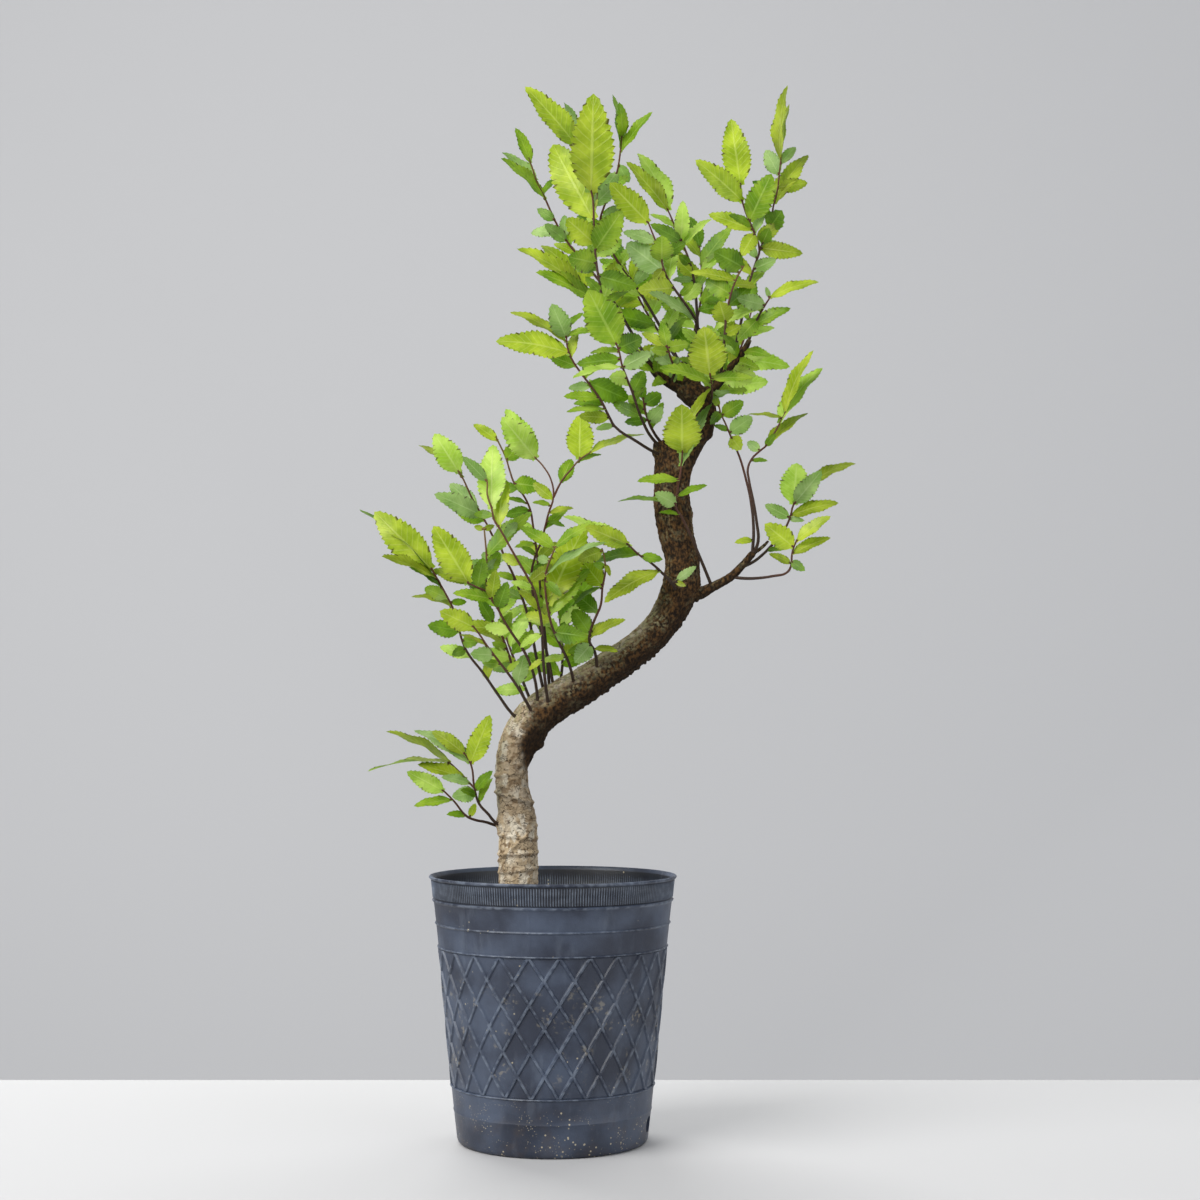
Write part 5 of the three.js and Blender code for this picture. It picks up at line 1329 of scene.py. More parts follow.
SHOOTS: dict[str, Plan] = {
    "low_sprig_upper": Plan(
        stems=(((-17, -2, 128), (-24.5, -4, 132), (-27, -5, 135), (-31, -6, 139.5), (-33, -7, 146),
            (-34.5, -8, 156), (-37.5, -9, 161)), ((-33, -7, 146), (-36.3, -3.5, 149.5), (-40, -1, 153.5),
            (-44, 1, 157.3))),
        leaves=((-34.5, 156.5, -26.5, 176.8, -3, 8.6), (-37.3, 160.5, -51, 170, 2, 5.6),
            (-35, 156.5, -58.5, 170.3, 8, 6.6), (-43, 156.5, -70.3, 169.8, -4, 3.5),
            (-36.3, 149.5, -57, 156, 1, 5), (-44, 157, -78, 153, 6, 1.6), (-34.5, 148, -47, 150.6, -3, 3.6),
            (-33, 144, -42.5, 142.5, -4, 6.6), (-32.5, 143, -39, 145.2, -8, 3.2),
            (-32.5, 145, -25.3, 153.3, -6, 4), (-31, 140, -25.3, 150.3, -2, 3)),
        tints="YOPOOOPPDDG",
    ),
    "low_sprig_lower": Plan(
        stems=(((-17, 3, 128.5), (-24, 3.5, 130.5), (-28, 2, 131.8), (-33.5, 0, 133), (-36.5, -1, 134.5),
            (-41.5, -3, 140.5), (-46.5, -4, 145.5)),),
        leaves=((-46.5, 145.5, -61.5, 153, -7, 7.2), (-42.5, 141, -58.5, 138.5, -4, 3.6),
            (-36.5, 134.5, -44.8, 135, -5, 2.8), (-35, 134, -32.5, 139.7, 3, 3)),
        tints="LGDY",
    ),
    "left_outer": Plan(
        stems=(((-11, -2, 172), (-17.5, -5, 177.5), (-23, -7, 185), (-30, -9, 195), (-35.5, -11, 202),
            (-38, -12, 207), (-40, -13, 214), (-42, -14, 221), (-45, -15, 227), (-50, -16, 236),
            (-51.5, -16, 238.8)),),
        leaves=((-51.3, 238.3, -75.7, 262.5, 4, 13.2), (-50, 236, -82, 263.5, 16, 1.8),
            (-48.8, 234, -72.5, 243.5, -18, 3.2), (-46.5, 230, -61, 239, -2, 2.6),
            (-44, 224, -36.5, 224.4, 4, 3), (-42.5, 222, -60, 226.5, 6, 2), (-39.5, 212, -53, 214.5, -4, 7.2),
            (-38.3, 208, -31.5, 207.3, -4, 5.6), (-37, 204.5, -42.7, 202, -3, 4.2)),
        tints="YDODDODDD",
    ),
    "left_low_front": Plan(
        stems=(((-8, -5, 176), (-12, -9.5, 183.5), (-16, -11, 190), (-20, -13, 195.5), (-25, -15, 202),
            (-28, -16, 206), (-31, -17, 210.5), (-34, -18, 214.5)),),
        leaves=((-34, 214.5, -48, 220.5, -3, 8.4), (-24.8, 202, -35, 202.5, -2, 6.2),
            (-22, 198, -30, 198.6, 3, 3.6), (-27.5, 205.5, -39.5, 210.5, -5, 2),
            (-19.5, 195, -14, 199.5, -3, 2.6)),
        tints="YPGOG",
    ),
    "left_low_back": Plan(
        stems=(((-9, 3, 176), (-12.5, 5, 184.5), (-15, 5, 190), (-17.5, 5, 198), (-19, 5, 203),
            (-21.5, 6, 209.5), (-25.5, 8, 216), (-31.3, 10, 223.3)),),
        leaves=((-19.3, 204.5, -25.9, 207.3, -3, 3.8), (-20.5, 207, -31, 211, 3, 2.2),
            (-21, 208.5, -20, 220, 5, 6.8), (-25, 216, -31.5, 226, -4, 5.2)),
        tints="GOLD",
    ),
    "left_middle": Plan(
        stems=(((-6, -4, 179), (-8.3, -9, 194), (-12, -10, 203), (-17, -11, 210.5), (-20.5, -12, 216),
            (-24, -13, 222.5), (-26.5, -13, 226), (-28.3, -12, 233), (-28.2, -11, 243), (-29.3, -9, 256)),
            ((-27.3, -13, 228.5), (-32, -15, 230.5), (-36.5, -16, 232.5))),
        leaves=((-36.5, 232.5, -50.7, 256.5, -5, 12.6), (-36, 232, -51, 238, 4, 5),
            (-26.3, 225.5, -42.5, 228, -6, 5.2), (-28, 229.5, -36.5, 234, 6, 6),
            (-26, 225.3, -24.3, 238, -4, 6), (-23, 221.5, -19.3, 233, -5, 6.2),
            (-28.3, 239, -36.7, 240, 4, 5.6), (-28.3, 238, -23.5, 242.5, 4, 3.2),
            (-29.2, 255, -33.5, 256.3, 2, 2.4), (-29.2, 255, -24.8, 256.8, -2, 2.6),
            (-28.2, 243.5, -9, 262.3, -3, 6.8)),
        tints="YOGDYDPPOOG",
    ),
    "left_tall": Plan(
        stems=(((-3, 4, 182), (-7.5, 3, 203), (-10, 1, 216), (-14, -2, 228.5), (-17, -3, 236), (-20, -4, 242),
            (-22.7, -4, 248), (-25.5, -5, 252), (-28, -6, 257), (-30, -7, 260.5), (-33, -9, 265.5),
            (-35.5, -11, 270.5), (-38, -12, 276), (-40.3, -13, 280)),),
        leaves=((-30.3, 260.5, -50.5, 270, -9, 7.8), (-32, 264, -43.8, 274.5, 7, 7),
            (-40, 280, -50.5, 295.7, -3, 10.4), (-38.5, 277, -57.2, 290.7, 12, 2.8),
            (-16, 233.5, -24, 236.5, 4, 3)),
        tints="PPLOG",
    ),
    "left_dark": Plan(
        stems=(((-2, -5, 180), (-4, -14, 197), (-4.5, -16, 207), (-5, -17, 216), (-6.5, -18, 223.5),
            (-8, -19, 229), (-11, -20, 235), (-14.5, -21, 241), (-18, -22, 247), (-20.5, -22, 251.5),
            (-22.5, -22, 255), (-25, -22, 259), (-26, -22, 263.5), (-28, -21, 270), (-28, -20, 275),
            (-29.2, -19, 278.5)),),
        leaves=((-26, 263.5, -25.6, 291, 14, 11.2), (-22.7, 256, -19.7, 276, 8, 6.8),
            (-28, 275.5, -38.5, 285.9, -2, 5), (-8.3, 230, -18, 232.7, -5, 3.4),
            (-6, 221, -15, 229.3, -6, 3.2), (-4.8, 211, -14, 205, -4, 3.4),
            (-4.5, 200, -10.5, 195.5, 3, 2.4)),
        tints="LYPLOLY",
    ),
    "left_top": Plan(
        stems=(((-1, 6, 181), (-3, 9, 205), (-5, 12, 225), (-7, 14, 245), (-8.5, 14, 256), (-10, 13, 264),
            (-13, 12, 270), (-16.5, 11, 274.5), (-18.5, 10, 280), (-20, 9, 285), (-22.5, 8, 290.5),
            (-24.5, 7, 294.5)),),
        leaves=((-23.5, 292.5, -34, 299.7, 3, 4.6), (-20, 284.5, -14, 292, -5, 7),
            (-16.5, 274.5, -5, 273, -3, 7.6), (-10, 263, -20.7, 261, -2, 5.2), (-11, 266, -20, 268, -5, 2),
            (-7.5, 249, -16.5, 247.3, -4, 2.6)),
        tints="YGGDDG",
    ),
    "left_fork": Plan(
        stems=(((1, 0, 183), (-2, -1, 200), (-7, -1, 220), (-9.3, -1, 235), (-7.5, 0, 244), (-5, 0, 250),
            (-3.5, 0, 256), (-2, 0, 262), (0, 0, 268.5), (-1, 1, 276), (-4.5, 2, 282), (-8, 3, 285.7)),
            ((0, 0, 268.5), (3.5, -2, 275.5), (7.5, -3, 280.5), (11, -4, 284.5), (16, -5, 288))),
        leaves=((-7.7, 285.5, -22, 302.8, -6, 11.4), (-8, 285.8, -20.3, 306.2, 5, 9),
            (-8, 285.6, -14.3, 288.2, 2, 3), (3, 275, 7.7, 284.9, 4, 6.2), (11, 284.7, 11.5, 304, 3, 11.2),
            (15.5, 287.8, 39, 295.5, 5, 3.6), (10, 283.5, 20.5, 286.8, 3, 2.2),
            (-1.3, 265, -9, 266.5, 4, 2.2), (-2, 262, 8.6, 263.9, -5, 2.8), (-3, 258.5, 5, 256, -4, 2.2),
            (-7.5, 244.5, -14, 247.5, -4, 2.4)),
        tints="LLDGYYGGODG",
    ),
    "left_centre": Plan(
        stems=(((9, 0, 188), (7.6, -9, 195), (6, -11, 200), (3, -13, 206), (0, -15, 212.5), (-2, -17, 220),
            (-3.3, -18, 229), (-3, -19, 237), (-1, -20, 243), (1, -20, 248)),),
        leaves=((-2.4, 223, 13.5, 256.3, 11, 13.6), (-3, 236, 22.5, 249.5, -10, 3.4),
            (1, 248.2, -14.2, 256, 2, 5.2), (1, 248, 18, 257.6, -2, 3.6), (-3, 236.5, -10.2, 235, 4, 4.2),
            (-1.5, 241.5, -6.7, 243, 5, 3.6), (-1.7, 219, 15.5, 238.5, 3, 8), (-0.3, 213.5, -17.2, 216, 9, 3),
            (5.6, 201, -5, 199.4, 2, 3.2), (0.5, 211.5, 14.5, 209.5, -5, 8),
            (-2.8, 233, 3.5, 226.5, -5, 3.6)),
        tints="YPGGPPGLGDD",
    ),
    "left_right_low": Plan(
        stems=(((18.5, -3, 196), (17.3, -9, 203.8), (15.3, -10, 207.5), (15.7, -11, 212), (17.5, -12, 217),
            (20, -13, 223), (20.7, -13, 230), (22, -14, 238), (21.5, -14, 243), (20.5, -15, 247)),),
        leaves=((15.5, 211, 8.3, 221.3, 4, 7.6), (15.5, 209.5, 30.6, 216.8, -8, 3.8),
            (15.7, 211.5, 22.3, 215.8, 4, 3.2), (16, 206.5, 9, 198.6, -6, 7.6), (16.3, 206, 6, 203, 4, 4.6),
            (17, 204.5, 27.3, 203.3, -4, 2.6), (20.7, 230.5, 8.8, 223, -3, 2.2),
            (20.8, 231, 12, 241.8, 6, 8.6), (21.8, 239, 16.8, 240.5, -3, 3.2),
            (20.8, 246.5, 10.3, 241.8, -3, 6.2), (21.8, 240.5, 24, 235, -3, 2.2)),
        tints="DOOPDODYDOO",
    ),
    "branchlet": Plan(
        stems=(((51.5, -6, 229), (50.2, -11.5, 232), (45.5, -13.5, 237), (41, -14, 241), (36.5, -15, 244),
            (31, -16, 249.3)), ((50.2, -11.5, 232), (52.7, -13.2, 233.6))),
        leaves=((31, 249.3, 13.3, 256.3, -9, 7.8), (33, 247.5, 4, 260.5, 3, 3.2),
            (36, 244.2, 17, 240.3, 12, 4.4), (37, 243.8, 46.3, 242.3, -3, 4), (45, 237.5, 21.5, 224, -3, 6),
            (52.3, 233.3, 60.4, 239.4, -2, 3.6), (51.5, 233, 56, 231, -3, 2.2)),
        tints="YLDDOPO",
    ),
    "right_low": Plan(
        stems=(((75, -4, 235), (80, -5.5, 234.3), (86.5, -7, 234.4), (93, -8, 235.3), (98.5, -9, 236.7),
            (100.3, -9, 239.5), (100.7, -10, 244), (101.7, -11, 248), (103, -12, 250.7)),),
        leaves=((101.3, 247.5, 89.2, 257.4, -3, 9.2), (101, 244.5, 117.2, 251.4, -4, 4.6),
            (103, 250.5, 117.2, 260.6, -3, 4.6), (100.5, 241.5, 106.3, 237.4, -4, 4),
            (100.3, 240.5, 90.9, 244.7, -2, 3.4)),
        tints="YOYDO",
    ),
    "right_middle": Plan(
        stems=(((79.5, -4, 239), (84, -1, 241), (88, 1, 244), (92, 2, 248), (95.5, 3, 252), (98.5, 3, 256.5),
            (100.3, 3, 261), (101.3, 3, 265), (104.5, 3, 270), (108.5, 4, 274.5)),),
        leaves=((101.4, 265.5, 103, 283.2, 3, 12.4), (101.7, 266, 113.5, 280, -6, 7.8),
            (108.5, 274.5, 128, 282.9, 3, 4.4), (100.3, 260.7, 120.6, 266.2, -4, 5.2),
            (100, 260, 89.3, 265.5, 3, 5.2), (99.8, 259.3, 106.2, 258.6, -3, 2.4),
            (90, 246, 97.6, 246.4, -5, 2.2)),
        tints="LPOOPPD",
    ),
    "right_tall_left": Plan(
        stems=(((84, -6, 244.5), (84.6, -5, 255), (83.3, -4, 268), (81.5, -3, 276), (79, -2, 285),
            (77, -2, 290), (75.5, -2, 293.5), (72.8, -3, 300), (70.8, -4, 304.5), (70, -5, 308)),),
        leaves=((75.3, 294.3, 79.6, 288.7, -4, 6.2), (74.5, 296, 84.2, 302.9, 3, 7.2),
            (71.3, 303.5, 80.6, 309.5, -3, 6.6), (74, 297, 67.8, 299.2, -3, 2.4),
            (84.5, 250.5, 76.4, 249.3, -3, 2.8), (70.6, 305, 66.3, 299.5, -4, 4),
            (70, 308, 66.8, 313.5, -3, 3)),
        tints="YPGDYDG",
    ),
    "right_tall_right": Plan(
        stems=(((84.7, -6, 245), (86.5, -9, 250), (85.9, -11, 258), (84.5, -12, 267), (82.7, -12, 276),
            (82.2, -12, 280.5), (84, -12, 285), (87, -12, 288), (90.3, -12, 290.8), (93, -12, 295),
            (95.5, -12, 299.5), (98.5, -12, 305)),),
        leaves=((90.5, 291, 107.9, 304.5, 6, 4.8), (87.5, 288.5, 82, 292.2, 3, 4.2),
            (89.7, 290.3, 94, 295.8, -6, 3.2), (83.7, 284.3, 90.8, 284, -3, 2),
            (98.3, 304.5, 110.4, 331.3, -3, 5.2), (95.7, 300, 114.2, 323.7, 6, 5.8),
            (97, 302.3, 82, 303.8, 4, 2)),
        tints="OPDDYLO",
    ),
    "front_of_trunk": Plan(
        stems=(((67, -2.5, 230.5), (64, -7, 238), (60.7, -10.5, 246), (57.5, -13, 253.5), (54, -15, 260.5),
            (51.7, -16, 264.5), (52.5, -16, 272), (53.7, -16, 279), (54.7, -16, 288.5)),),
        leaves=((54.7, 288.5, 54.3, 308.3, -9, 15.2), (54.7, 288, 67.8, 315.8, 7, 4.6),
            (54.2, 281.7, 67.2, 308.7, 6, 5.4), (53.3, 276, 35.4, 275.4, -3, 3.4),
            (52.2, 268.7, 65.2, 273.7, -2, 2.4), (51.8, 265.8, 42.8, 270.5, -7, 6.2),
            (51.7, 264.7, 27, 266.8, 6, 1.6), (53.5, 261.5, 44.5, 262, -4, 2)),
        tints="YYPGDPDD",
    ),
    "crown_far_left": Plan(
        stems=(((45.5, -3, 286.5), (41, -6.5, 288.7), (35, -9, 292.5), (26, -11, 298.7), (23.5, -12, 303),
            (20, -13, 310), (15, -14, 317), (12, -15, 321), (8, -16, 327), (6, -16, 332), (5.5, -16, 336),
            (5.8, -16, 342)),),
        leaves=((6.7, 330, -24.6, 335, -4, 9.2), (5.6, 334.5, -18.6, 347.6, 4, 3),
            (5.6, 336.5, -0.8, 351.2, -4, 8.6), (5.5, 337.5, 17.7, 339.6, -3, 2.6),
            (5.8, 342, 12.7, 347.3, 3, 2.2), (19.6, 311, 4.2, 311.5, -4, 3.8),
            (21.2, 308, 8.4, 308.6, 7, 4.2), (22, 306.3, 5.4, 304.8, -9, 3.2),
            (23.8, 302.5, 10.7, 303.2, 2, 5.6), (14.5, 317.5, 31.7, 310.3, 10, 9.6),
            (26, 299, 17.8, 297.6, 4, 2.8)),
        tints="YOPGDGDGODP",
    ),
    "crown_left_middle": Plan(
        stems=(((45.5, -3, 289.5), (40.5, -8.5, 295.5), (38, -11, 300.5), (36, -14, 305.5), (33.5, -17, 313),
            (31, -19, 319.5), (29, -21, 325), (28, -22, 330), (26.5, -23, 334.5)),),
        leaves=((26.8, 333.5, 14.5, 357.2, -4, 15.2), (28.5, 327.5, 9.8, 325.4, 3, 6.7),
            (29.5, 324, 8.1, 319.2, -14, 3.8), (28, 330.5, 15.4, 330.2, 10, 2.4),
            (31.2, 319.3, 23.5, 319.8, -6, 6.2), (29.5, 324, 41.6, 330.5, -4, 6.6),
            (27.5, 332, 37.6, 336.6, 3, 8.6), (33.5, 313, 38.3, 322.5, 4, 6.2)),
        tints="GDLGLPDD",
    ),
    "crown_left_low": Plan(
        stems=(((47, 0, 290), (42.3, -4.5, 296.5), (40, -6, 301.5), (38.5, -7.5, 307), (38, -8, 311)),),
        leaves=((40, 301.5, 30, 300.6, 2, 4.2), (40.2, 300.5, 46.3, 307, -4, 6.2),
            (38.4, 308, 45.7, 312.8, 3, 6), (38.7, 306, 29.3, 306.5, 3, 4.6), (38, 311, 36.5, 319, 3, 4)),
        tints="DPDDD",
    ),
    "crown_top_left": Plan(
        stems=(((41.5, -3.5, 325), (34, -6, 331), (26, -8, 340), (21.5, -9, 350), (19.5, -9, 360),
            (18, -9, 370), (17.2, -9, 380), (17, -9, 390), (16.5, -9, 397), (14.5, -9, 404), (11.5, -9, 411),
            (10, -9, 419.5)),),
        leaves=((10, 419.5, -12.4, 444.7, -6, 10.2), (16.3, 399, 16.9, 441.7, -12, 17.6),
            (17, 387, -0.4, 419.7, 16, 16), (17.4, 377, 5.3, 387.7, -3, 10.2),
            (17.5, 374, 29.2, 391.2, -8, 11.2), (18.2, 368.5, 6.1, 371.3, -4, 9.6),
            (19, 363, 35.7, 358.3, -3, 8.2), (10, 419.5, 4.4, 437.7, 14, 4.2)),
        tints="YYYYGGDP",
    ),
    "crown_left_fan": Plan(
        stems=(((39.5, -3.5, 326.5), (31, 1, 336), (23, 1, 346), (16.5, 1, 353.5), (13, 1, 356.5)),),
        leaves=((14.5, 355.3, -15.7, 374.7, -5, 5.6), (13.2, 356.4, -5.2, 376.2, 16, 8.6),
            (17, 352.8, -7.7, 364.6, -13, 6.6)),
        tints="YYG",
    ),
    "crown_wisp_left": Plan(
        stems=(((42, -2, 323.5), (33, 8, 339), (23, 13, 356), (12, 15, 370), (7, 15, 376), (2, 15, 384),
            (-0.7, 14, 389.5), (-4, 13, 397), (-7, 12, 403), (-9, 12, 409), (-10.8, 11, 414)),),
        leaves=((-10, 411.5, -16.4, 426.9, -2, 5), (-3.5, 395.5, -22.7, 413.7, -10, 4.2),
            (-7.5, 404, -22.2, 416.3, 7, 4.2), (0.5, 387, -7.2, 392, -3, 4.4),
            (5.5, 378, -3.9, 385.4, -6, 5.6), (4.7, 379.7, 4.6, 389.3, 4, 4.6)),
        tints="GGPPPP",
    ),
    "crown_top_centre": Plan(
        stems=(((55, 12, 323), (46, 14, 340), (36, 14, 357), (25, 12, 373), (19.8, 9, 386), (21.5, 8, 393),
            (24.3, 7, 400), (27, 7, 408), (28.3, 7, 416), (29, 7, 423.5)),),
        leaves=((28.6, 418, 25, 441.3, 9, 4.6), (29, 423.5, 27.8, 438, -9, 4.8),
            (28.4, 416, 42.2, 433.8, -8, 3.8), (26.9, 407.5, 18.3, 394.3, -8, 6.6),
            (27.5, 411, 32.2, 403.2, 3, 5), (20, 387, 29.5, 393.5, -3, 2.8)),
        tints="DGGPPP",
    ),
    "crown_centre_arch": Plan(
        stems=(((61.2, 2.5, 339.5), (60.6, 5, 352), (59.5, 6, 362), (57.5, 7, 370), (55, 7, 376.5),
            (52.5, 7, 382), (50.5, 7, 387), (48.3, 7, 392)),),
        leaves=((48.5, 391.7, 30.8, 412.2, -7, 7.2), (48.4, 392, 35.8, 415.9, 13, 8.6),
            (54.3, 378, 55, 395.5, -4, 6.4), (55.2, 376, 67.3, 387.5, 3, 3.6),
            (54.3, 378, 41, 385.3, -6, 5.6), (52, 383.5, 40.8, 389.5, 4, 2.4), (58, 368, 53.2, 372, -5, 3.8),
            (59.6, 361, 50.3, 361.3, 4, 3)),
        tints="YLLLDLDP",
    ),
    "crown_centre_left": Plan(
        stems=(((61.3, 2, 335), (60.3, -5, 344), (56, -8, 351), (51, -9, 358), (47.5, -10, 364),
            (46.3, -10, 368), (44.5, -10, 375), (42, -10, 381.5), (40, -10, 386.7)),),
        leaves=((40.2, 386.5, 23.8, 403.2, -3, 10.6), (46, 369, 46, 380.5, -4, 9.6),
            (46.8, 366.3, 41.8, 359.3, -2, 4.6), (47.3, 364.7, 31, 377.2, 8, 10.6),
            (43.5, 377.5, 29.5, 382, 6, 5.2), (51, 358, 35.6, 356.8, -7, 9.2),
            (53.5, 354.5, 59.5, 359.8, -4, 3), (60.2, 344.5, 40.3, 356, -14, 3.8)),
        tints="YGOPPYGP",
    ),
    "crown_front": Plan(
        stems=(((64.3, -1, 303), (66.7, -9, 309.5), (67.2, -16, 315.5), (66.3, -21, 321.3)),),
        leaves=((66.3, 321.3, 63.8, 341.5, -4, 15.2), (67, 317, 44.8, 323.7, -3, 4.6),
            (66.7, 319, 84.6, 319.2, -2, 3.8)),
        tints="YGG",
    ),
    "crown_front_left": Plan(
        stems=(((49.5, -2, 317.3), (51.3, -9, 322.5), (49.5, -13, 328.5), (48, -15, 333.3)),),
        leaves=((48.3, 332.5, 57.8, 334.2, -4, 5.2), (48.8, 330.5, 41.3, 331.5, -2, 4.2),
            (48, 333.3, 37.3, 338.8, 3, 4.2), (48.1, 333, 46, 343.5, 3, 5)),
        tints="GGYG",
    ),
    "crown_right_top": Plan(
        stems=(((71, -2, 319), (76, 3, 326), (77.5, 6, 334), (79.5, 7, 343), (81.3, 7, 352), (83.7, 7, 362),
            (86, 7, 369), (87.5, 7, 374), (85.2, 6, 382), (81.5, 5, 391), (79.8, 5, 398), (79.6, 5, 403)),
            ((87.5, 7, 374), (90, 8, 379.5), (92.3, 9, 385), (93.5, 9, 393), (95.3, 9, 400), (96.2, 9, 408),
            (97, 9, 415))),
        leaves=((79.6, 403, 75.6, 430.7, -3, 11.6), (80.3, 395, 60.3, 413, -10, 9.6),
            (84.7, 382.5, 65.8, 389.6, 4, 6.2), (84.3, 384, 74.3, 389.3, -5, 3.2),
            (83.3, 386.5, 92.8, 407, -3, 11), (85.5, 381, 93, 396.5, 5, 4.4),
            (85.5, 381.3, 79.5, 371.3, -4, 6.6), (86.5, 370.5, 82.3, 377.5, 4, 3.8),
            (96.7, 413, 99.8, 445.3, -3, 4.4), (97, 415, 100.6, 437.2, 4, 3.4),
            (93.7, 394, 108.4, 415.2, 8, 7.2), (96, 406.5, 90.3, 417.3, 5, 7),
            (96.5, 411, 103.2, 418.5, 5, 4.2), (91.7, 383.5, 97.3, 391.3, -5, 8.2),
            (88.7, 376.7, 91.8, 383.8, -5, 5.6), (88, 375, 106, 372.7, -4, 7),
            (87.7, 374.5, 95.7, 377.2, 4, 5), (85, 366, 94.7, 370.3, -3, 5.6)),
        tints="YYYDGPYPOOOPPDGOPP",
    ),
    "crown_right_low": Plan(
        stems=(((82, -4.5, 333.5), (84.6, -6, 340), (86.7, -7, 345), (89.5, -8, 350), (92.2, -8, 354.3)),),
        leaves=((92, 354, 112.8, 360.4, -4, 4.4), (85.5, 342, 99.4, 348.9, -3, 4.4),
            (89.3, 349.7, 67.8, 339.8, 6, 4), (89.7, 350.5, 77.8, 353.7, -6, 6.6),
            (86.5, 344.5, 78, 335.3, -6, 6.6), (92.2, 354.3, 90.2, 358.4, 2, 2)),
        tints="YGLPGP",
    ),
    "crown_right_middle": Plan(
        stems=(((70, -1.5, 318), (71.7, -8, 326), (72.5, -11, 336), (73.5, -12, 347), (75.5, -13, 356),
            (78, -13, 362.5), (81, -13, 367.7)),),
        leaves=((80.7, 367.3, 68, 373.7, -3, 9.6), (73.2, 343, 70.3, 352.3, -4, 8.8),
            (75.3, 355.3, 64.5, 361.5, 4, 8.2), (72.7, 338, 79.7, 342, -4, 4.2),
            (77.3, 361, 57.8, 364.7, 5, 4.6), (79, 364.5, 70.3, 367, 3, 2.8),
            (72.3, 333.5, 77.3, 329.3, -3, 2.6)),
        tints="DYGYYGD",
    ),
}

BACK_SHOOTS: dict[str, BackPlan] = {
    "crown_back_left": BackPlan(((55.3, 13, 323), (46, 24, 337), (37, 31, 352), (30, 35, 368)), 5, 25),
    "crown_back_centre": BackPlan(
        ((55.5, 12, 322), (60, 27, 340), (63, 35, 358), (62, 40, 376)), 5, 25,
        ("left_limb", "centre_limb", "right_limb", "back_limb"),
    ),
    "crown_back_right": BackPlan(((63, 2, 306), (71, 16, 316), (79, 25, 331), (84, 30, 348)), 5, 24),
    "left_back_high": BackPlan(((2, 6, 182), (4, 19, 203), (2, 28, 222), (-2, 34, 242)), 5, 23),
    "left_back_low": BackPlan(((-8, 5, 179), (-14, 17, 194), (-20, 26, 210), (-24, 32, 226)), 5, 21),
}


class BladeSize(Enum):
    """The four blades that leaves are copied from: the longest leaf of each in mm, and its teeth a side."""

    BUD = (10.5, 4)
    SHORT = (17.0, 7)
    MIDDLE = (26.0, 10)
    LONG = (math.inf, 13)

    @classmethod
    def fitting(cls, length: float) -> "BladeSize":
        """The blade for a leaf of this length in mm."""
        return next(size for size in cls if length < size.value[0])


@dataclass(frozen=True)
class Blade:
    """A flat leaf of length 1 and width 1 along +X: a thin lens with a saw edge and a short stalk."""

    size: BladeSize
    stalk: float = 0.06
    stalk_half: float = 0.035
    notch: float = 0.87
    hook: float = 0.5
    thickness: float = 0.016
    crease: float = 60.0

    @staticmethod
    def profile(share: float) -> float:
        """Half the width at a share of the length, where the widest is about 1."""
        return math.sin(math.pi * share**0.76) ** 0.66 * (1.06 - 0.16 * share) if 0 < share < 1 else 0.0

    def model(self) -> bpy.types.Object:
        """Models the blade from a grid, column by column, and closes it underneath.

        Returns:
            The blade, with a slot for its upper side's material and one for its underside's.
        """
        teeth = self.size.value[1]
        columns = 2 * teeth + 3
        bpy.ops.mesh.primitive_grid_add(
            x_subdivisions=columns, y_subdivisions=2, size=1, location=(0.5, 0, 0)
        )
        blade = settled("blade_" + self.size.name.lower())
        with editing(blade):
            for column in range(columns + 1):
                start = column / columns
                share = max(0.0, (column - 1) / (columns - 1))
                place = self.stalk + (1 - self.stalk) * share if column else 0.0
                half = self.profile(0.015 + 0.985 * share) if column < columns else 0.0
                is_tooth = column % 2 == 1 and 1 < column < columns
                half *= 1.0 if is_tooth or column < 2 else self.notch
                choose(blade, lambda v: v.index % (columns + 1) == column)
                grown = max(half, self.stalk_half if column < 2 else 0.0)
                bpy.ops.transform.resize(value=(1, grown, 1), center_override=(start, 0, 0))
                bpy.ops.transform.translate(value=(place - start, 0, 0))
                if is_tooth:
                    choose(blade, lambda v: v.index % (columns + 1) == column and abs(v.co.y) > 1e-4)
                    bpy.ops.transform.translate(value=(self.hook / columns, 0, 0))
            bpy.ops.mesh.select_all(action="SELECT")
            bpy.ops.mesh.duplicate()
            bpy.ops.mesh.flip_normals()
            choose(blade, lambda v: v.select and abs(v.co.y) < 1e-5 and 0 < v.co.x < 0.999)
            bpy.ops.transform.translate(value=(0, 0, -self.thickness))
            bpy.ops.mesh.select_all(action="SELECT")
            bpy.ops.mesh.remove_doubles(threshold=SAME_SPOT)
        bpy.ops.object.shade_smooth_by_angle(angle=math.radians(self.crease))
        for _ in range(2):
            blade.data.materials.append(None)
        teeth_at = [vertex.index % (columns + 1) % 2 for vertex in blade.data.vertices]
        mark(blade, "tooth", np.array(teeth_at) * (np.abs(places(blade)[:, 1]) > 100))
        for face in blade.data.polygons:
            face.material_index = 0 if face.normal.z > 0 else 1
        return blade


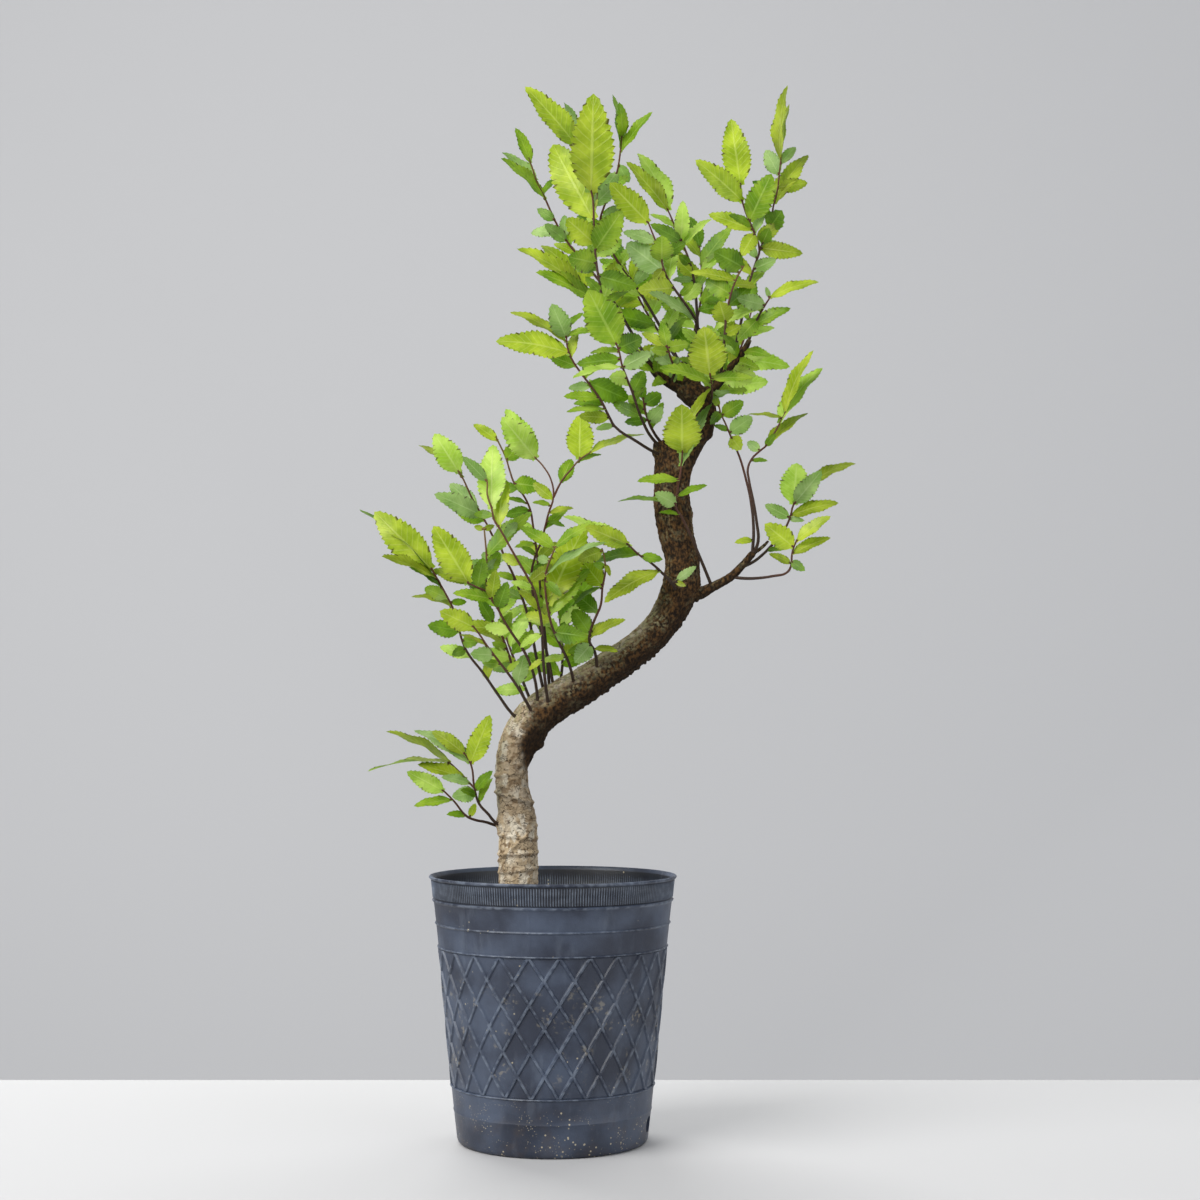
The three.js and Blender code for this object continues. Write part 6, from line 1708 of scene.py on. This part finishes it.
@dataclass
class Foliage:
    """Every leafy shoot: thin stems with alternate saw-edged leaves, each shoot one piece."""

    ratio: float = 0.36
    breadth: float = 1.12
    bow: float = 0.055
    fold: float = 0.18
    lift_spread: float = 0.5
    curl_spread: float = 0.4
    ripple: float = 0.018
    twist: float = 0.22
    crease: float = 60.0
    foot_inset: float = 1.0
    stem_radii: tuple[float, float] = (0.72, 0.34)
    side_radii: tuple[float, float] = (0.5, 0.3)
    stem_sides: int = 8
    stem_rings: int = 4
    bud_size: Row = (0.525, 0.525, 0.975)
    bud_out: float = 0.6
    back_spread: float = math.radians(52)
    back_first: float = 0.2
    back_extra: int = 4
    filler_first: float = 0.3
    filler_last: float = 0.86
    filler_gaps: dict[str, float] = field(default_factory=lambda: {"crown": 5.5, "left": 11.0, "limb": 2.6})
    filler_lengths: tuple[float, float] = (7.5, 13.5)
    filler_clear: float = 1.8
    filler_lean: tuple[float, float] = (30, 85)
    filler_breadth: tuple[float, float] = (0.3, 0.56)
    filler_jitter: tuple[float, float] = (0.7, 1.3)
    filler_depths: tuple[float, float] = (-1, 10)
    limb_depths: tuple[float, float] = (-14, 0)
    filler_tints: str = "GGGDDPOLY"
    back_jitter: float = 0.35
    back_tints: str = "DGOGL"
    seed: int = 5

    def __post_init__(self) -> None:
        """Models the blades and the bud once, makes the finishes, and starts the draws."""
        self.blades = {size: Blade(size).model() for size in BladeSize}
        bpy.ops.mesh.primitive_ico_sphere_add(subdivisions=1, radius=1)
        self.bud_form = settled("bud_form")
        self.skins = {tint: finish.material() for tint, finish in LEAF_FINISHES.items()}
        self.underside = UNDERSIDE.material()
        self.twig = TwigFinish().material()
        self.draws = random.Random(self.seed)

    def _leaf(self, foot: Vector, tip: Vector, seen_width: float, tint: Tint) -> bpy.types.Object:
        """Copies a blade and lays it between two points, bowed, folded and turned as wide as it is seen.

        Args:
            foot: where the leaf leaves its stem, in mm.
            tip: where it ends.
            seen_width: how wide it looks to the viewer.
            tint: how it looks where it hangs; the yellow, dark and pale tints are painted backlight, shade
                and sky sheen.

        Returns:
            The leaf.
        """
        run = tip - foot
        length = run.length
        along = run.normalized()
        width = max(seen_width, self.ratio * length)
        turn = math.acos(seen_width / width)
        to_eye = (EYE - foot).normalized()
        facing = (to_eye - along * to_eye.dot(along)).normalized()
        aside = along.cross(facing)
        if aside.z < 0:
            aside.negate()
        face = facing * math.cos(turn) + aside * math.sin(turn)
        across = face.cross(along)
        copy = copied(self.blades[BladeSize.fitting(length)], "leaf")
        share, half, layer = (places(copy) * MM).T
        half = half * width * self.breadth
        bow = self.bow * (1 + self.lift_spread * self.draws.uniform(-1, 1))
        phase = self.draws.uniform(0, math.tau)
        twist = self.twist * self.draws.uniform(-1, 1)
        curl = self.fold * (1 + self.curl_spread * self.draws.uniform(-1, 1))
        lift = 4 * bow * length * share * (1 - share) + curl * np.abs(half) + layer * width
        lift += self.ripple * length * np.sin(14 * share + phase) * np.abs(half) / (0.5 * width)
        lift += np.sin(twist * share) * half
        spots = np.outer(share * length, along) + np.outer(half, across) + np.outer(lift, face)
        place_all(copy, spots + np.array(foot))
        copy.data.materials[0] = self.skins[tint]
        copy.data.materials[1] = self.underside
        return copy

    def _bud(self, at: Vector, way: Vector) -> bpy.types.Object:
        """Copies the small pointed bud that sits over a leaf's foot.

        Args:
            at: the leaf's foot, in mm.
            way: which way the bud points.

        Returns:
            The bud.
        """
        copy = copied(self.bud_form, "bud")
        turn = way.to_track_quat("Z", "Y").to_matrix().to_4x4()
        size = Matrix.Diagonal((*(Vector(self.bud_size) * MM), 1))
        copy.data.transform(Matrix.Translation((at + way * self.bud_out) * MM) @ turn @ size)
        return copy

    def _stem(self, points: Sequence[Vector], radii: tuple[float, float]) -> bpy.types.Object:
        """Models a stem that tapers from its foot to its tip.

        Args:
            points: the points that it goes through, in mm.
            radii: its radius at the foot and at the tip.

        Returns:
            The stem.
        """
        runs = [0.0]
        for a, b in zip(points, points[1:]):
            runs.append(runs[-1] + (b - a).length)
        sizes = [radii[0] + (radii[1] - radii[0]) * run / runs[-1] for run in runs]
        return tube("stem", points, sizes, self.stem_sides, self.stem_rings)

    def _nearest(self, stems: Sequence[Sequence[Row]], across: float, height: float) -> Vector:
        """Finds the point of a shoot's stems that is seen nearest to a place.

        Args:
            stems: each stem's points.
            across: where the place is seen.
            height: how high it is seen.

        Returns:
            The point: across, height and depth.
        """
        best, found = math.inf, Vector()
        for stem in stems:
            for i, ((ax, ad, az), (bx, bd, bz)) in enumerate(zip(stem, stem[1:])):
                run = (bx - ax) ** 2 + (bz - az) ** 2
                most = 1 if i < len(stem) - 2 else 1 - self.foot_inset / math.sqrt(run)
                t = max(0.0, min(most, ((across - ax) * (bx - ax) + (height - az) * (bz - az)) / run))
                x, z = ax + t * (bx - ax), az + t * (bz - az)
                distance = math.hypot(across - x, height - z)
                if distance < best:
                    best, found = distance, Vector((x, z, ad + t * (bd - ad)))
        return found

    def _fillers(
        self, stem: Sequence[Row], feet: Sequence[Row], gap: float, depths: tuple[float, float]
    ) -> list[bpy.types.Object]:
        """Adds the small leaves between the large ones, by turns on the two sides of a stem.

        Args:
            stem: the stem's points: across, depth and height, with more numbers allowed after them.
            feet: where leaves already start, across and height.
            gap: how far apart they are, in mm.
            depths: how far behind their feet the tips may lie, from and to, in mm.

        Returns:
            The small leaves.
        """
        leaves = []
        runs = [math.hypot(b[0] - a[0], b[2] - a[2]) for a, b in zip(stem, stem[1:])]
        reach = self.filler_first * sum(runs) + self.draws.uniform(0, 3)
        side = self.draws.choice((-1, 1))
        while reach < self.filler_last * sum(runs):
            leg, rest = leg_at(runs, reach)
            (ax, ad, az), (bx, bd, bz) = stem[leg][:3], stem[leg + 1][:3]
            t = rest / runs[leg]
            x, z, depth = ax + t * (bx - ax), az + t * (bz - az), ad + t * (bd - ad)
            angle = side * math.radians(self.draws.uniform(*self.filler_lean))
            length = self.draws.uniform(*self.filler_lengths)
            ux, uz = (bx - ax) / runs[leg], (bz - az) / runs[leg]
            way_x = ux * math.cos(angle) + uz * math.sin(angle)
            way_z = uz * math.cos(angle) - ux * math.sin(angle)
            back = self.draws.uniform(*depths)
            tint = Tint(self.draws.choice(self.filler_tints))
            if all(math.hypot(x - fx, z - fz) > self.filler_clear for fx, fz in feet):
                foot = seen(x, z, depth)
                tip = seen(x + way_x * length, z + way_z * length * 0.9 + 1.5, depth + back)
                leaves.append(self._leaf(foot, tip, length * self.draws.uniform(*self.filler_breadth), tint))
            side = -side
            reach += gap * self.draws.uniform(*self.filler_jitter)
        return leaves

    def _finished(
        self, name: str, foot: Vector, parts: list[bpy.types.Object], stems: list[bpy.types.Object]
    ) -> bpy.types.Object:
        """Joins a shoot's leaves to its stems, dresses it and sets it in place of its CAD node.

        Args:
            name: the CAD node.
            foot: where the shoot leaves the wood, in mm.
            parts: its leaves and buds.
            stems: its stems.

        Returns:
            The shoot.
        """
        for stem in stems:
            dressed(stem, self.twig)
        shoot = joined([*stems, *parts], "shoot_" + name)
        reach = np.linalg.norm(places(shoot) - np.array(foot), axis=1)
        mark(shoot, "outwards", reach / reach.max())
        bpy.ops.object.shade_smooth_by_angle(angle=math.radians(self.crease))
        return seated(shoot, name)

    def _front_shoot(self, name: str, plan: Plan) -> bpy.types.Object:
        """Models a shoot that the photograph shows.

        Args:
            name: its CAD node.
            plan: its form.

        Returns:
            The shoot.
        """
        lines = [[seen(x, z, depth) for x, depth, z in stem] for stem in plan.stems]
        stems = [self._stem(line, self.side_radii if i else self.stem_radii) for i, line in enumerate(lines)]
        parts = []
        for (foot_x, foot_z, tip_x, tip_z, back, width), letter in zip(plan.leaves, plan.tints):
            x, z, depth = self._nearest(plan.stems, foot_x, foot_z)
            foot, tip = seen(x, z, depth), seen(tip_x, tip_z, depth + back)
            parts.append(self._leaf(foot, tip, width, Tint(letter)))
            bud = self._bud(foot, (tip - foot).normalized())
            bud.data.materials.append(self.twig)
            parts.append(bud)
        gap = self.filler_gaps.get(name.split("_")[0])
        if gap:
            feet = [(leaf[0], leaf[1]) for leaf in plan.leaves]
            for stem in plan.stems:
                parts += self._fillers(stem, feet, gap, self.filler_depths)
        return self._finished(name, lines[0][0], parts, stems)

    def _back_shoot(self, name: str, plan: BackPlan, stream: int) -> bpy.types.Object:
        """Models a shoot behind, with leaves by turns on its two sides, and smaller ones between them.

        Args:
            name: its CAD node.
            plan: its form.
            stream: where its draws start.

        Returns:
            The shoot.
        """
        points = [seen(x, z, depth) for x, depth, z in plan.stem]
        stem = self._stem(points, self.stem_radii)
        runs = [(b - a).length for a, b in zip(points, points[1:])]
        parts = []
        last = 2 * plan.count - 2 + self.back_extra
        for i in range(last + 1):
            share = i / last
            reach = (self.back_first + (0.99 - self.back_first) * share) * sum(runs)
            leg, rest = leg_at(runs, reach)
            along = (points[leg + 1] - points[leg]).normalized()
            foot = points[leg] + along * rest
            aside = Vector((along.z, 0, -along.x)).normalized()
            number, between = divmod(i, 2)
            side = (1 if number % 2 else -1) * (0.2 if i == last else 1) * (-1 if between else 1)
            way = along * math.cos(self.back_spread) + aside * side * math.sin(self.back_spread)
            jitter = (0, self.back_jitter * draw(number, stream), self.back_jitter * draw(number, stream + 1))
            way = (way + Vector(jitter)).normalized()
            length = plan.longest * (0.55 + 0.45 * math.sin(math.pi * (0.15 + 0.7 * share)))
            length *= 0.7 if between else 1
            width = length * (0.34 + 0.08 * draw(number, stream + 2))
            tint = Tint(self.draws.choice(self.back_tints))
            parts.append(self._leaf(foot, foot + way * length, width, tint))
        for limb in plan.limbs:
            parts += self._fillers(LIMBS[limb], [], self.filler_gaps["limb"], self.limb_depths)
        return self._finished(name, points[0], parts, [stem])

    def build(self) -> list[bpy.types.Object]:
        """Models and dresses every shoot.

        Returns:
            The shoots, each in place of its CAD node.
        """
        shoots = [self._front_shoot(name, plan) for name, plan in SHOOTS.items()]
        for i, (name, plan) in enumerate(BACK_SHOOTS.items()):
            shoots.append(self._back_shoot(name, plan, 10 * i))
        for form in (*self.blades.values(), self.bud_form):
            bpy.data.objects.remove(form)
        return shoots


@dataclass(frozen=True)
class SoftLight:
    """A square light: where it hangs and how wide it is in mm, its power in watts and its colour."""

    name: str
    at: Row
    side: float
    power: float
    colour: Colour


@dataclass
class Studio:
    """The pale table with its back edge in view, the grey wall, soft lights and the camera."""

    lights: tuple[SoftLight, ...] = (
        SoftLight("window", (-1100, -900, 1300), 1300, 44, (1.0, 0.99, 0.97)),
        SoftLight("fill", (1300, -1000, 600), 1500, 11, (0.96, 0.98, 1.0)),
        SoftLight("sky_behind", (-450, 1150, 750), 1000, 27, (1.0, 1.0, 0.98)),
        SoftLight("door_behind", (700, 1150, 700), 900, 9, (1.0, 1.0, 0.98)),
    )
    lit_at: Row = (20, 0, 240)
    air: Colour = (0.86, 0.88, 0.92)
    air_strength: float = 0.5
    table_width: float = 6000.0
    table_front: float = 2600.0
    table_depth: float = 145.0
    table_colour: Colour = rgb(174, 174, 175)
    wall_colour: Colour = rgb(212, 212, 213)
    wall_size: tuple[float, float] = (9000, 6000)
    wall_middle: Row = (0, 1900, 600)

    def _plane(self, name: str, size: tuple[float, float], at: Vector, tilt: float, colour: Colour) -> None:
        """Adds a flat backdrop piece.

        Args:
            name: what it is called.
            size: how wide and how long it is, in mm.
            at: its middle, in mm.
            tilt: how far it is tilted about X.
            colour: its paint.
        """
        bpy.ops.mesh.primitive_plane_add(size=1, location=at * MM, rotation=(tilt, 0, 0))
        bpy.context.object.scale = (size[0] * MM, size[1] * MM, 1)
        piece = settled(name)
        piece.data.materials.append(StudioFinish(name + "_paint", colour).material())

    def _hang(self, light: SoftLight) -> None:
        """Hangs a light so that it faces the plant; those behind it leave no glare on it.

        Args:
            light: the light to hang.
        """
        at = Vector(light.at) * MM
        turn = (Vector(self.lit_at) * MM - at).to_track_quat("-Z", "Y").to_euler()
        bpy.ops.object.light_add(type="AREA", location=at, rotation=turn)
        lamp = bpy.context.object
        lamp.name = light.name
        lamp.visible_camera = False
        lamp.visible_glossy = at.y < 0
        lamp.data.shape = "SQUARE"
        lamp.data.size = light.side * MM
        lamp.data.energy = light.power
        lamp.data.color = light.colour

    def build(self) -> None:
        """Sets the stage, the lights and the camera."""
        size = (self.table_width, self.table_front + self.table_depth)
        middle = Vector((0, (self.table_depth - self.table_front) / 2, 0))
        self._plane("table", size, middle, 0, self.table_colour)
        self._plane("wall", self.wall_size, Vector(self.wall_middle), math.pi / 2, self.wall_colour)
        for light in self.lights:
            self._hang(light)
        world = bpy.data.worlds.new("room")
        world.use_nodes = True
        air = world.node_tree.nodes["Background"]
        air.inputs["Color"].default_value = (*self.air, 1)
        air.inputs["Strength"].default_value = self.air_strength
        bpy.context.scene.world = world
        bpy.context.scene.view_settings.view_transform = "Standard"
        bpy.ops.object.camera_add(location=EYE * MM, rotation=(math.radians(90 + EYE_PITCH), 0, 0))
        camera = bpy.context.object
        camera.name = "viewer"
        camera.data.lens = LENS
        camera.data.sensor_width = SENSOR
        bpy.context.scene.camera = camera


def main() -> None:
    """Builds the sub-assemblies in order and logs each piece."""
    logging.basicConfig(level=logging.INFO, format="%(message)s")
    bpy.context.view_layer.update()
    pot = Pot()
    pieces = [pot.build()]
    stem_x, stem_depth, stem_z, _ = TRUNK[1]
    pieces.append(Soil(pot).build(seen(stem_x, stem_z, stem_depth)))
    pieces.append(Trunk().build())
    pieces += Foliage().build()
    for piece in pieces:
        log.info("%s: %d faces", piece.name, len(piece.data.polygons))
    Studio().build()


if __name__ == "__main__":
    main()
